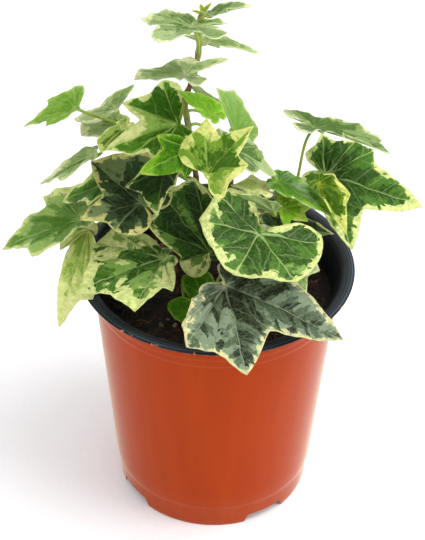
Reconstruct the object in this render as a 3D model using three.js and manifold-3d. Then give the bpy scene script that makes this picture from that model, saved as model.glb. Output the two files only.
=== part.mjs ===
// Variegated ivy in a round nursery pot. Millimetres, Z up, the pot's base centre at the origin,
// the front of the plant toward -Y.
import * as THREE from 'three';
import { mergeVertices } from 'three/addons/utils/BufferGeometryUtils.js';
import Module from 'manifold-3d';

const wasm = await Module();
wasm.setup();

// Pot
const RIM_R = 60; // outside of the lip
const POT_H = 118;
const BASE_R = 43; // outside of the foot ring
const NECK_R = 54.5; // outside of the wall just under the lip
const WALL = 1.4;
const FLOOR_Z = 5; // underside of the floor, raised on the feet
const FLOOR_T = 1.6;
const STEP_Z = 13; // moulded line above the feet
const COLLAR_Z = 106; // moulded line under the lip
const STEP = 0.5; // how far each moulded line stands out
const RIM_DROP = 1.5; // height of the lip's outer edge
const THROAT = 6; // how far under the lip the inside becomes straight
const NOTCH_H = 4.5; // height of the gaps between the feet
const NOTCH_W = 22; // width of a gap, measured straight across
const NOTCH_TAPER = 2.5; // how much each side of a gap leans in toward its top
const NOTCH_AT = [-56, 34, 124, 214]; // degrees from +X

// Potting soil
const SOIL_Z = 104; // level at the wall
const SOIL_RISE = 3; // mound in the middle
const GAP = 0.3; // clearance between pieces that meet

// Plant
const BLADE = 0.8; // blade thickness
const INNER_RING = 0.5; // where the blade's inner row of points lies, as a share of its radius
const PETIOLE_R = 0.65;
const PETIOLE_SIDES = 4;
const PETIOLE_STEPS = 5;
const STEM_SIDES = 6;
const PETIOLE_SINK = 0.15; // how far a petiole's end lies under the middle of the blade
const PETIOLE_PULL = 0.3; // length of its end tangents, as a share of the distance that it spans
const PETIOLE_CLIMB = 0.7; // how steeply it leaves the stem, against 1 outward
const NOTCH_ANGLE = 172; // half angle at which the blade's base notch begins, where a leaf states no other

// Stems: radius, number of steps and the points that the middle line passes through.
const STEMS = {
  main: [1.2, 18, [[-9, 4, 90], [-9, 4, 106], [-7, 3, 122], [-8, 3, 150], [-12, 3, 182], [-14, 2, 199],
    [-12, 2, 207], [-10, 2, 214], [-8.5, 2, 226], [-8.5, 3, 236], [-7, 4, 239]]],
  left: [1.1, 9, [[-18, 8, 90], [-18, 8, 106], [-25, 9, 130], [-33, 9, 154], [-41, 10, 177], [-42, 10, 184]]],
  front: [1.1, 6, [[-14, -6, 90], [-14, -6, 106], [-16, -6, 114], [-18, -7, 121]]],
  right: [1.1, 11, [[6, 8, 90], [6, 8, 106], [11, 3, 128], [17, -4, 147], [21, -3, 151], [27, 1, 150],
    [33, 4, 156]]],
  back: [1.1, 8, [[0, 20, 90], [0, 20, 106], [3, 29, 122], [6, 36, 138], [6, 40, 150]]],
};

// Leaves. at: where the petiole meets the blade. turn: heading of the tip from +X, its rise and the roll
// of the blade about its midrib, in degrees, with the right side down. stem, s: where the petiole starts.
// lobes, from the left side of the base to the right: angle from the midrib in degrees, length, and how
// much of the shorter length is left between this lobe and the next. notch: half angle of the base notch.
const LEAVES = [
  { name: 'leaf_top_left', at: [-11, -11, 242], turn: [171, -1, 11], stem: 'main', s: 0.77,
    lobes: [[-123, 20, 0.65], [-77, 32, 0.6], [16, 22.5, 1], [32, 20, 1], [52, 16.5, 0.35],
      [136, 12, 1], [154, 14]] },
  { name: 'leaf_top_right', at: [-4, 9, 236], turn: [-7, 21, -13], stem: 'main', s: 0.95,
    lobes: [[-100, 6, 1], [-55, 12, 1], [-10, 16.5, 0.9], [14, 8, 1], [63, 7]] },
  { name: 'leaf_upper_right', at: [-6, 14, 220], turn: [-6, -6, -8], stem: 'main', s: 0.82,
    lobes: [[-161, 11, 0.5], [-100, 6, 0.9], [-29, 13.5, 1], [-8, 22.5, 0.95], [30, 7, 0.9], [85, 4]] },
  { name: 'leaf_upper_left', at: [-14, -14, 222], turn: [178, -3, 10], stem: 'main', s: 0.66,
    notch: 155, lobes: [[-106, 16, 0.6], [-82, 8, 1], [3, 20, 1], [23, 19.5, 0.9], [47, 12, 1.05],
      [99, 14.5, 0.75], [140, 21.5]] },
  { name: 'leaf_crown_left', at: [-17, -5, 193], turn: [-158, -8, -28], stem: 'main', s: 0.5,
    notch: 130, lobes: [[-128, 8, 1], [-37, 19.5, 0.92], [-16, 23.5, 1.1], [1, 31, 0.64],
      [42, 24, 0.85], [92, 19.5]] },
  { name: 'leaf_lime_centre', at: [-11, -17, 189], turn: [-145, -4, -63], stem: 'main', s: 0.44,
    lobes: [[-110, 5, 1], [-56, 12, 0.85], [-2, 24.5, 0.8], [41, 17, 0.8], [95, 6]] },
  { name: 'leaf_folded', at: [-4, -32, 188], turn: [24, 47, 13], stem: 'main', s: 0.38,
    notch: 118, lobes: [[-86, 18, 1], [-49, 22.5, 0.68], [0, 26, 0.8], [41, 19.5, 0.95],
      [93, 14.5]] },
  { name: 'leaf_crown_back', at: [7, 16, 174], turn: [93, 20, 49], stem: 'main', s: 0.42,
    lobes: [[-87, 5, 0.9], [-36, 21.5, 0.96], [8, 27.5, 1], [41, 18, 1], [64, 15.5, 1], [105, 9]] },
  { name: 'leaf_lime_crown', at: [-3, -7, 199], turn: [170, 37, 0], stem: 'main', s: 0.55,
    lobes: [[-100, 5, 1], [-59, 8, 1], [5, 18, 1], [35, 11, 1], [120, 8]] },
  { name: 'leaf_crown_edge', at: [-1, 14, 187], turn: [165, 50, 75], stem: 'main', s: 0.46,
    lobes: [[-100, 4, 0.9], [-45, 7, 1], [0, 17, 1], [45, 7, 0.9], [100, 4]] },
  { name: 'leaf_mid_right', at: [3, -2, 181], turn: [-12, -28, -12], stem: 'main', s: 0.4,
    lobes: [[-90, 10, 1], [-61, 18, 0.92], [-10, 25.5, 0.85], [48, 20.5, 0.9], [100, 9]] },
  { name: 'leaf_dark_left', at: [-32, -13, 159], turn: [142, 18, -21], stem: 'left', s: 0.6,
    lobes: [[-95, 17, 1], [-63, 26, 0.6], [2, 29.5, 1.05], [58, 22.5, 1], [110, 14]] },
  { name: 'leaf_dark_hanging', at: [-22, -8, 173], turn: [-100, -18, 24], stem: 'main', s: 0.33,
    lobes: [[-110, 8, 1], [-69, 11, 1], [-37, 13, 1], [-1, 22.5, 0.8], [63, 18, 0.85], [110, 9]] },
  { name: 'leaf_dark_upright', at: [-3, -11, 132], turn: [110, 72, 0], stem: 'main', s: 0.14,
    lobes: [[-92, 14, 1], [-54, 33, 1], [-31, 36.5, 1], [-5, 34, 1], [50, 14, 0.9], [110, 5]] },
  { name: 'leaf_heart', at: [17, -29, 156], turn: [-116, -7, -21], stem: 'right', s: 0.45,
    notch: 150, lobes: [[-115, 26.5, 1], [-62, 27, 0.95], [-2, 23.5, 1], [63, 26, 0.97], [100, 24]] },
  { name: 'leaf_front_large', at: [4, -38, 136], turn: [-20, -14, 11], stem: 'right', s: 0.25, notch: 152,
    lobes: [[-117, 11, 1.5], [-52, 34, 0.85], [-4, 53, 0.62], [57, 46, 0.97], [92, 39.5, 1], [107, 26, 1],
      [125, 13]] },
  { name: 'leaf_under_heart', at: [22, -13, 136], turn: [4, -25, 14], stem: 'right', s: 0.35,
    lobes: [[-100, 12, 0.9], [-40, 26, 0.8], [-2, 26, 0.8], [46, 25, 0.8], [100, 12]] },
  { name: 'leaf_cream_edged', at: [-22.6, -15.2, 131.6], turn: [-154, 5, 0], stem: 'front', s: 0.95,
    lobes: [[-104, 7.5, 1], [-74, 27, 1], [-50, 41.8, 0.88], [-9, 41.7, 1.04], [38, 29.5, 0.95],
      [72, 27, 1], [106, 7]] },
  { name: 'leaf_pale_hanging', at: [-55, 0, 135], turn: [-104, -34, 10], stem: 'left', s: 0.48,
    lobes: [[-60, 5, 1], [-18, 32, 1], [5, 44, 0.7], [42, 15, 1], [110, 9]] },
  { name: 'leaf_far_left', at: [-58, -3, 142], turn: [-161, -13, 6], stem: 'left', s: 0.62,
    lobes: [[-100, 9, 1], [-28, 28, 0.93], [8, 35.5, 1.05], [41, 24.5, 0.76], [66, 26, 0.98],
      [92, 23.5]] },
  { name: 'leaf_left_small', at: [-46, 1, 158], turn: [168, -30, -12], stem: 'left', s: 0.7,
    lobes: [[-95, 7, 1], [-55, 13, 0.9], [5, 26, 0.9], [50, 14, 0.9], [100, 6]] },
  { name: 'leaf_left_narrow', at: [-52, -4, 176], turn: [-168, -27, 8], stem: 'left', s: 0.85,
    lobes: [[-90, 5, 1], [-25, 17, 1], [7, 26, 0.95], [38, 12, 1], [100, 6]] },
  { name: 'leaf_outer_left', at: [-58, 4, 194], turn: [-169, -14, 4], stem: 'left', s: 0.95,
    notch: 124, lobes: [[-95, 4, 1], [-29, 16, 0.88], [4, 23.5, 0.78], [47, 17, 0.78], [93, 15]] },
  { name: 'leaf_left_fold', at: [-43, 16, 186], turn: [172, -19, -17], stem: 'left', s: 1,
    notch: 140, lobes: [[-95, 3, 1], [3, 20.5, 0.9], [26, 8.5, 0.8], [102, 10, 1], [126, 13]] },
  { name: 'leaf_left_back', at: [-42, 18, 176], turn: [171, 0, -17], stem: 'left', s: 0.9,
    lobes: [[-100, 5, 1], [-24, 16.5, 1], [10, 17, 1], [50, 11, 1], [99, 6]] },
  { name: 'leaf_pale_curl', at: [-38, 0, 188], turn: [-150, -30, 0], stem: 'left', s: 0.97,
    lobes: [[-95, 5, 1], [-38, 9, 1.1], [-4, 15, 1], [26, 14, 0.7], [70, 6, 1], [100, 5]] },
  { name: 'leaf_glossy', at: [25, -2, 163], turn: [-25, -14, 10], stem: 'right', s: 0.75,
    lobes: [[-98, 6, 1.1], [-50, 9, 1.1], [1, 27, 1.1], [40, 9, 1], [98, 6]] },
  { name: 'leaf_lime_right', at: [27, -8, 154], turn: [-45, -25, 0], stem: 'right', s: 0.86,
    lobes: [[-133, 8, 0.8], [-62, 13.5, 0.8], [-28, 12, 0.6], [30, 10.5, 0.8], [90, 4]] },
  { name: 'leaf_right_upper', at: [39.8, 14, 179.9], turn: [-11, -5, -16], stem: 'right', s: 0.95,
    lobes: [[-134, 18.5, 0.4], [-40, 21, 1], [-18, 28.7, 1], [14, 34.5, 0.9], [24, 15, 1],
      [60, 9, 1], [89, 14]] },
  { name: 'leaf_right_large', at: [46, 16, 154], turn: [-12, -15, 23], stem: 'right', s: 0.92,
    lobes: [[-142, 13.7, 1], [-114, 19.5, 0.81], [-72, 21, 1], [-51, 25, 0.89], [-6, 44.5, 0.6],
      [57, 37.4, 0.9], [110, 14]] },
  { name: 'leaf_right_curled', at: [41, -6, 165.6], turn: [-50, -40, 20], stem: 'right', s: 1.0,
    lobes: [[-134, 4.5, 1], [-92, 8, 1], [-44, 14.5, 1], [-2, 24.5, 0.85], [14, 6, 1], [60, 3]] },
  { name: 'leaf_round_a', at: [-6, -16, 114], turn: [115, 30, 0], stem: 'front', s: 0.42,
    lobes: [[-100, 6, 1.2], [-45, 10, 1.1], [0, 11, 1.1], [45, 10, 1.2], [100, 6]] },
  { name: 'leaf_round_b', at: [-12.5, -30.5, 114], turn: [130, 25, 0], stem: 'front', s: 0.5,
    lobes: [[-100, 5, 1.2], [-45, 8, 1.1], [0, 9, 1.1], [45, 8, 1.2], [100, 5]] },
  { name: 'leaf_lime_strip', at: [23, -19, 161], turn: [-156, 42, 60], stem: 'right', s: 0.6,
    lobes: [[-80, 4, 1], [-25, 8, 1.1], [0, 24, 1.1], [25, 8, 1], [80, 4]] },
  { name: 'leaf_cream_mid', at: [19, -5, 161], turn: [175, 10, 0], stem: 'right', s: 0.66,
    lobes: [[-100, 6, 0.9], [-50, 10, 0.9], [0, 14, 0.9], [50, 10, 0.9], [100, 6]] },
  { name: 'leaf_grey_mid', at: [14, -8, 152], turn: [140, 30, 0], stem: 'right', s: 0.5,
    lobes: [[-100, 5, 0.9], [-50, 8, 0.9], [0, 12, 0.9], [50, 8, 0.9], [100, 5]] },
  { name: 'leaf_back_low', at: [0, 53, 138], turn: [88, -35, 0], stem: 'back', s: 0.7,
    lobes: [[-115, 16, 0.8], [-52, 26, 0.75], [0, 35, 0.75], [52, 26, 0.8], [115, 16]] },
  { name: 'leaf_back_left', at: [-26, 32, 150], turn: [135, -25, 0], stem: 'back', s: 0.6,
    lobes: [[-115, 14, 0.8], [-52, 23, 0.75], [0, 28, 0.75], [52, 23, 0.8], [115, 14]] },
  { name: 'leaf_back_right', at: [19, 34, 124], turn: [65, -10, 0], stem: 'back', s: 0.4,
    lobes: [[-115, 12, 0.8], [-52, 19, 0.75], [0, 24, 0.75], [52, 19, 0.8], [115, 12]] },
  { name: 'leaf_back_mid', at: [-2, 30, 160], turn: [95, -25, 0], stem: 'back', s: 1,
    lobes: [[-115, 13, 0.8], [-52, 21, 0.75], [0, 26, 0.75], [52, 21, 0.8], [115, 13]] },
  { name: 'leaf_back_low_left', at: [-32, 26, 126], turn: [150, -12, 0], stem: 'back', s: 0.35,
    lobes: [[-115, 13, 0.8], [-52, 21, 0.75], [0, 26, 0.75], [52, 21, 0.8], [115, 13]] },
  { name: 'leaf_back_low_right', at: [27, 12, 128], turn: [10, -6, 0], stem: 'back', s: 0.3,
    lobes: [[-115, 12, 0.8], [-52, 20, 0.75], [0, 25, 0.75], [52, 20, 0.8], [115, 12]] },
  { name: 'leaf_back_upper', at: [-22, 22, 168], turn: [110, -25, 0], stem: 'main', s: 0.37,
    lobes: [[-115, 10, 0.8], [-52, 16, 0.75], [0, 20, 0.75], [52, 16, 0.8], [115, 10]] },
];
const FOLD = 8; // degrees that both halves rise beside the midrib
const TROUGH = 2; // half width of the rounded trough along the midrib
const BEND = 0.1; // fall of the tip, as a share of the leaf's reach
const WAVE = 0.05; // rise of the edge between the lobes, likewise
const LOBE_CURVE = 1.5; // above 1 the lobes taper to a point

// Side twigs and buds that grow from a stem: stem, radius, line; and stem, point, heading, rise, length.
const TWIGS = [
  ['right', 0.7, [[26, 1, 150], [25, 4, 154], [24, 6, 158]]],
];
const BUD_R = 1.3;
const BUDS = [
  ['main', [-7, 4, 239], 180, 20, 5],
  ['main', [-7, 4, 239], 108, 35, 5],
  ['main', [-7, 4, 239], 255, 45, 5],
  ['main', [-7, 4, 239], 30, 60, 5.5],
  ['right', [24, 6, 157], 150, 70, 5],
];

// Colour and roughness of each material.
const LOOKS = {
  pot: [0xbb4416, 0.45],
  soil: [0x2a1d16, 1],
  stem: [0x6a3a26, 0.7],
  leaf: [0x3f6a35, 0.5],
};

function solid(geometry) {
  geometry.deleteAttribute('normal');
  geometry.deleteAttribute('uv');
  const merged = mergeVertices(geometry, 1e-4);
  const index = merged.index.array;
  const faces = [];
  for (let i = 0; i < index.length; i += 3) {
    const [a, b, c] = [index[i], index[i + 1], index[i + 2]];
    if (a !== b && b !== c && c !== a) faces.push(a, b, c);
  }
  return new wasm.Manifold(new wasm.Mesh({
    numProp: 3,
    vertProperties: Float32Array.from(merged.attributes.position.array),
    triVerts: Uint32Array.from(faces),
  }));
}

function vector(point) {
  return new THREE.Vector3(point[0], point[1], point[2]);
}

function tube(curve, radius, sides, steps) {
  const corners = [];
  for (let i = 0; i < sides; i += 1) {
    const angle = (2 * Math.PI * i) / sides;
    corners.push(new THREE.Vector2(radius * Math.cos(angle), radius * Math.sin(angle)));
  }
  const section = new THREE.Shape(corners);
  return solid(new THREE.ExtrudeGeometry(section, { steps, extrudePath: curve, bevelEnabled: false }));
}

function lathe(profile, segments) {
  const closed = [...profile, profile[0]].map(([r, z]) => new THREE.Vector2(r, z));
  const geometry = new THREE.LatheGeometry(closed, segments);
  geometry.rotateX(Math.PI / 2);
  return solid(geometry);
}

// Pot wall: outside radius at a height, without the moulded lines.
function wallAt(z) {
  return BASE_R + ((NECK_R - 2 * STEP - BASE_R) * z) / (POT_H - RIM_DROP);
}

function makePot() {
  const under = POT_H - RIM_DROP;
  const profile = [
    [wallAt(0), 0],
    [wallAt(STEP_Z - 1), STEP_Z - 1],
    [wallAt(STEP_Z) + STEP, STEP_Z],
    [wallAt(COLLAR_Z - 1) + STEP, COLLAR_Z - 1],
    [wallAt(COLLAR_Z) + 2 * STEP, COLLAR_Z],
    [NECK_R, under - 1],
    [RIM_R - 1.2, under],
    [RIM_R, under + 0.5],
    [RIM_R - 0.5, POT_H - 0.4],
    [RIM_R - 2.6, POT_H],
    [RIM_R - 4.9, POT_H - 0.4],
    [RIM_R - 6.6, POT_H - 2.2],
    [wallAt(under - THROAT) - WALL, under - THROAT],
    [wallAt(FLOOR_Z + FLOOR_T) - WALL, FLOOR_Z + FLOOR_T],
    [0, FLOOR_Z + FLOOR_T],
    [0, FLOOR_Z],
    [wallAt(FLOOR_Z) - WALL, FLOOR_Z],
    [wallAt(0) - WALL, 0],
  ];
  let pot = lathe(profile, 40);
  const half = NOTCH_W / 2;
  const gap = new THREE.Shape([
    new THREE.Vector2(-half, -1),
    new THREE.Vector2(half, -1),
    new THREE.Vector2(half - NOTCH_TAPER, NOTCH_H),
    new THREE.Vector2(-half + NOTCH_TAPER, NOTCH_H),
  ]);
  for (const degrees of NOTCH_AT) {
    const cutter = new THREE.ExtrudeGeometry(gap, { depth: 12, bevelEnabled: false });
    cutter.rotateX(Math.PI / 2);
    cutter.rotateZ(Math.PI / 2);
    cutter.translate(BASE_R - 8, 0, 0);
    cutter.rotateZ((degrees * Math.PI) / 180);
    pot = pot.subtract(solid(cutter));
  }
  return pot;
}

function makeSoil(holes) {
  const low = FLOOR_Z + FLOOR_T + GAP;
  const profile = [
    [0, low],
    [wallAt(low) - WALL - GAP, low],
    [wallAt(SOIL_Z) - WALL - GAP, SOIL_Z],
    [30, SOIL_Z + SOIL_RISE * 0.6],
    [0, SOIL_Z + SOIL_RISE],
  ];
  let soil = lathe(profile, 40);
  for (const hole of holes) soil = soil.subtract(hole);
  return soil;
}

function stemCurve([, , points], lower) {
  const path = points.map(vector);
  path[0].z -= lower;
  return new THREE.CatmullRomCurve3(path, false, 'catmullrom', 0.5);
}

// A stem with its side twigs; made thicker by the gap, it trims the soil and the petioles.
function makeRod(name, gap) {
  const [radius, steps] = STEMS[name];
  let rod = tube(stemCurve(STEMS[name], gap), radius + gap, STEM_SIDES, steps);
  for (const [owner, thickness, points] of TWIGS) {
    if (owner === name) {
      const twig = new THREE.CatmullRomCurve3(points.map(vector), false, 'catmullrom', 0.5);
      rod = rod.add(tube(twig, thickness + gap, PETIOLE_SIDES, 4));
    }
  }
  return rod;
}

function makeStem(name) {
  let stem = makeRod(name, 0);
  for (const [owner, point, heading, rise, length] of BUDS) {
    if (owner === name) {
      const bud = new THREE.ConeGeometry(BUD_R, length, 5);
      bud.translate(0, length / 2 - 0.8, 0);
      bud.rotateZ((-(90 - rise) * Math.PI) / 180);
      bud.rotateX(Math.PI / 2);
      bud.rotateZ((heading * Math.PI) / 180);
      bud.translate(point[0], point[1], point[2]);
      stem = stem.add(solid(bud));
    }
  }
  return stem;
}

// Points along the edge of a blade: angle, length and nearness to a lobe's tip, 0 to 1.
function edgePoints({ lobes, notch = NOTCH_ANGLE }) {
  const base = (lobe, side) => [1, 0.6].map((along) => {
    const end = 1 + 0.1 * lobe[1];
    const round = Math.sqrt(1 - along * along);
    const angle = lobe[0] + (side * notch - lobe[0]) * along;
    return [angle, end + (lobe[1] - end) * round, 1 - along];
  });
  const last = lobes[lobes.length - 1];
  const points = base(lobes[0], -1);
  lobes.forEach(([angle, length, cut], i) => {
    points.push([angle, length, 1]);
    if (i === lobes.length - 1) return;
    const [nextAngle, nextLength] = lobes[i + 1];
    const low = cut * Math.min(length, nextLength);
    const middle = angle + ((nextAngle - angle) * length) / (length + nextLength);
    const part = 0.5 ** LOBE_CURVE;
    points.push([(angle + middle) / 2, low + (length - low) * part, 0.5]);
    points.push([middle, low, 0]);
    points.push([(middle + nextAngle) / 2, low + (nextLength - low) * part, 0.5]);
  });
  return [...points, ...base(last, 1).reverse()];
}

function makeBlade(leaf) {
  const edge = edgePoints(leaf);
  const reach = Math.max(...leaf.lobes.map((lobe) => lobe[1]));
  const slope = Math.tan((FOLD * Math.PI) / 180);
  const positions = [0, 0, 0];
  for (const share of [INNER_RING, 1]) {
    for (const [angle, length, peak] of edge) {
      const x = share * length * Math.sin((angle * Math.PI) / 180);
      const y = share * length * Math.cos((angle * Math.PI) / 180);
      const rise = slope * (Math.hypot(x, TROUGH) - TROUGH);
      const fall = BEND * reach * (Math.max(y, 0) / reach) ** 2;
      const ripple = WAVE * reach * (1 - peak) * share * share;
      positions.push(x, y, rise - fall + ripple);
    }
  }
  const count = edge.length;
  const upper = [];
  for (let i = 0; i < count; i += 1) {
    const j = (i + 1) % count;
    upper.push(0, 1 + j, 1 + i);
    upper.push(1 + i, 1 + j, 1 + count + j);
    upper.push(1 + i, 1 + count + j, 1 + count + i);
  }
  const middle = new THREE.BufferGeometry();
  middle.setAttribute('position', new THREE.Float32BufferAttribute(positions, 3));
  middle.setIndex(upper);
  middle.computeVertexNormals();
  const normals = middle.attributes.normal.array;
  const both = [];
  for (const side of [1, -1]) {
    positions.forEach((value, i) => both.push(value + (side * BLADE * normals[i]) / 2));
  }
  const total = 1 + 2 * count;
  const faces = [...upper];
  for (let i = 0; i < upper.length; i += 3) {
    faces.push(total + upper[i], total + upper[i + 2], total + upper[i + 1]);
  }
  for (let i = 0; i < count; i += 1) {
    const a = 1 + count + i;
    const b = 1 + count + ((i + 1) % count);
    faces.push(a, b, total + b, a, total + b, total + a);
  }
  const blade = new THREE.BufferGeometry();
  blade.setAttribute('position', new THREE.Float32BufferAttribute(both, 3));
  blade.setIndex(faces);
  return blade;
}

function makeLeaf(leaf, clearances) {
  const [heading, rise, roll] = leaf.turn.map((degrees) => (degrees * Math.PI) / 180);
  const midrib = new THREE.Vector3(
    Math.cos(heading) * Math.cos(rise),
    Math.sin(heading) * Math.cos(rise),
    Math.sin(rise),
  );
  const level = new THREE.Vector3(Math.sin(heading), -Math.cos(heading), 0);
  const side = level.applyAxisAngle(midrib, roll);
  const normal = new THREE.Vector3().crossVectors(side, midrib);
  const at = vector(leaf.at);
  const blade = makeBlade(leaf);
  blade.applyMatrix4(new THREE.Matrix4().makeBasis(side, midrib, normal).setPosition(at));

  const root = stemCurve(STEMS[leaf.stem], 0).getPoint(leaf.s);
  const reach = at.distanceTo(root) * PETIOLE_PULL;
  const start = at.clone().addScaledVector(normal, -PETIOLE_SINK);
  const leave = at.clone().addScaledVector(midrib, -0.6 * reach).addScaledVector(normal, -0.8 * reach);
  const outward = new THREE.Vector3(at.x - root.x, at.y - root.y, 0).normalize();
  outward.z = PETIOLE_CLIMB;
  const arrive = root.clone().addScaledVector(outward.normalize(), reach);
  const path = new THREE.CubicBezierCurve3(start, leave, arrive, root);
  let body = solid(blade).add(tube(path, PETIOLE_R, PETIOLE_SIDES, PETIOLE_STEPS));
  for (const clearance of clearances) body = body.subtract(clearance);
  return body;
}

const group = new THREE.Group();

function place(name, body, [color, roughness]) {
  const { vertProperties, triVerts } = body.getMesh();
  const geometry = new THREE.BufferGeometry();
  geometry.setAttribute('position', new THREE.Float32BufferAttribute(vertProperties, 3));
  geometry.setIndex([...triVerts]);
  geometry.computeVertexNormals();
  const material = new THREE.MeshStandardMaterial({ color, roughness, metalness: 0 });
  const mesh = new THREE.Mesh(geometry, material);
  mesh.name = name;
  group.add(mesh);
}

const names = Object.keys(STEMS);
const clearances = names.map((name) => makeRod(name, GAP));
place('pot', makePot(), LOOKS.pot);
place('soil', makeSoil(clearances), LOOKS.soil);
names.forEach((name) => place(`stem_${name}`, makeStem(name), LOOKS.stem));
LEAVES.forEach((leaf) => place(leaf.name, makeLeaf(leaf, clearances), LOOKS.leaf));

export default group;
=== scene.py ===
import math
import random
from collections import namedtuple
from functools import partial

import bmesh
import bpy
import numpy as np
from mathutils import Matrix, Vector, noise


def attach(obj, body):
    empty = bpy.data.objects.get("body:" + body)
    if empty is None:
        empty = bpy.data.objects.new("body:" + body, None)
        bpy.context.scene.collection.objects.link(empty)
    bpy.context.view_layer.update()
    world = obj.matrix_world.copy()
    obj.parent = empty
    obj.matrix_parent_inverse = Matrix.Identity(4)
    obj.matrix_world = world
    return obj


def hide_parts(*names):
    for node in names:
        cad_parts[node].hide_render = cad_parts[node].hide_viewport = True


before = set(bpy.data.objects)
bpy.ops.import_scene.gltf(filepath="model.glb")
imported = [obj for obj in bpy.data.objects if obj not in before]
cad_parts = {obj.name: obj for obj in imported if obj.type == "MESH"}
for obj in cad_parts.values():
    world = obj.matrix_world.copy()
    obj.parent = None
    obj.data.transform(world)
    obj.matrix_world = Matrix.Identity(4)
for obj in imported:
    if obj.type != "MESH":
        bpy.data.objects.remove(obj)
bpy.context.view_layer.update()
MM = 0.001

# Pot, as in the CAD model
POT_H = 118
BASE_R = 43
NECK_R = 54.5  # outside of the wall under the lip
RIM_R = 60
RIM_DROP = 1.5  # height of the lip's outer edge
THROAT = 6  # how far under the lip the inside becomes straight
WALL = 1.4
STEP = 0.5  # how far each moulded line stands out
STEP_Z = 13  # height of the line above the foot
COLLAR_Z = 106  # height of the line under the lip
FLOOR_Z = 5
FLOOR_T = 1.6
FLOOR_R = 20  # flat middle of the floor
GAP_H = 4.5  # gaps between the feet
GAP_W = 22
GAP_TAPER = 2.5
GAP_COUNT = 4
GAP_FIRST = -56  # degrees from +X
GAP_IN = 2  # how far inside the foot's edge their middle lies
GAP_DEPTH = 0.55  # across the foot ring, as a share of the width
SEAM_LOW = 116.4  # where specks of the outer colour thin out on the lip
SEAM_HIGH = 117.2
POT_SIDES = 180
POT_SHARP = 40  # degrees at which an edge stays sharp

# Potting soil
SOIL_Z = 104
SOIL_RISE = 3
SOIL_LOW = 6.9
SOIL_CLEAR = 0.3  # gap to the pot
SOIL_RINGS = 44
SOIL_SIDES = 132
BARE_RINGS = 3  # rings beside the wall that carry no litter
CROWN_R = 30  # inside this radius the mound rises more
LUMP_SIZE = 6
SOIL_ROUGH = 1.3
SOIL_SETTLED = 0.6  # how far the lumps lie below the mound's height
SOIL_SHARP = 60

# Stems: radius and the points that the middle line passes through
STEMS = {
    "main": (1.2, [(-9, 4, 90), (-9, 4, 106), (-7, 3, 122), (-8, 3, 150), (-12, 3, 182), (-14, 2, 199),
                   (-12, 2, 207), (-10, 2, 214), (-8.5, 2, 226), (-8.5, 3, 236), (-7, 4, 239)]),
    "left": (1.1, [(-18, 8, 90), (-18, 8, 106), (-25, 9, 130), (-33, 9, 154), (-41, 10, 177),
                   (-42, 10, 184)]),
    "front": (1.1, [(-14, -6, 90), (-14, -6, 106), (-16, -6, 114), (-18, -7, 121)]),
    "right": (1.1, [(6, 8, 90), (6, 8, 106), (11, 3, 128), (17, -4, 147), (21, -3, 151), (27, 1, 150),
                    (33, 4, 156)]),
    "back": (1.1, [(0, 20, 90), (0, 20, 106), (3, 29, 122), (6, 36, 138), (6, 40, 150)]),
}
# Side shoot: the stem that it leaves, its radius and its points
TWIG = ("right", 0.7, [(26, 1, 150), (25, 4, 154), (24, 6, 158)])
# Unfolding leaves at the tips: stem, foot, heading, rise and length
BUDS = [
    ("main", (-7, 4, 239), 180, 20, 5),
    ("main", (-7, 4, 239), 108, 35, 5),
    ("main", (-7, 4, 239), 255, 45, 5),
    ("main", (-7, 4, 239), 30, 60, 5.5),
    ("right", (24, 6, 157), 150, 70, 5),
]
BUD_SIDE = 0.25  # length of a bud leaf's side lobes, as a share of its own
STEM_STEPS = 90
TWIG_STEPS = 8
STEM_PLAIN = 0.92  # thickness between the petioles, as a share of the stem's radius
KNOT_SWELL = 0.28  # and what is added where a petiole leaves
KNOT_LENGTH = 1.6
STEM_UNEVEN = 0.06
UNEVEN_SIZE = 4
PETIOLE_R = 0.65
PETIOLE_PULL = 0.3  # how far its ends hold their direction, as a share of its length
PETIOLE_CLIMB = 0.7
PETIOLE_BACK = 0.6
PETIOLE_DOWN = 0.8
PETIOLE_SINK = 0.45

# Leaf form, as in the CAD model: the lobes' outline, a fold along the midrib, a tip bent down and waves
NOTCH_ANGLE = 172
LOBE_CURVE = 1.5
FOLD = 8
TROUGH = 2  # half width of the rounded bottom of the fold
BEND = 0.1  # drop of the tip, as a share of the length
WAVE = 0.05
# and what the finer blade adds: side veins, swellings between them, sunk main veins, an uneven edge
BLADE = 0.46
BLADE_EDGE = 0.2
MESH_STEP = 1.15
RIB_SPACING = 6.8
RIB_LEAN = 0.8  # how far a side vein runs outward along the main vein for each mm across
QUILT = 0.13
QUILT_START = 3
PUFF = 0.026
GROOVE = 0.3
GROOVE_W = 0.9
KEEL = 0.35  # height of the main veins under the blade
MIDRIB_R = 0.5
RUFFLE = 0.35
RUFFLE_STEP = 13

# Sizes of the patterns in a leaf's colours
PATCH = 3.6  # patches of light and dark
MOTTLE = 1.8  # ragged specks in them
NET = 2.3  # meshes of the finest veins
WOBBLE = 4  # waves of the side veins
DRIFT = 11  # waves of the main veins
# and how far they stray
WANDER = 5.5
RIB_WANDER = 3.4
NET_WANDER = 1.8
SWAY = 1.1
RAGGED = 2.2
VEIN_WIDE = 0.7  # main veins at the petiole
VEIN_FINE = 0.3

# Soft boxes: place, size in metres and power. The camera's place and its turn in degrees, down, to the
# right and clockwise, are fitted to the photograph.
SOFTBOXES = {
    "key_softbox": ((450, -150, 1150), 0.8, 7.5),
    "fill_softbox": ((-900, -800, 700), 1.0, 2.2),
    "right_softbox": ((1000, -300, 450), 0.8, 4.0),
}
LAMP_TARGET = (0, 0, 130)
HAZE = 0.95
FLOOR_REACH = 6.0
CAMERA_AT = (0, -612.4, 599.3)
CAMERA_TURN = (38.39, -0.155, 1.01)
CAMERA_LENS = 120
CAMERA_SENSOR = 36
CAMERA_SIGHT = 20  # metres

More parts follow.
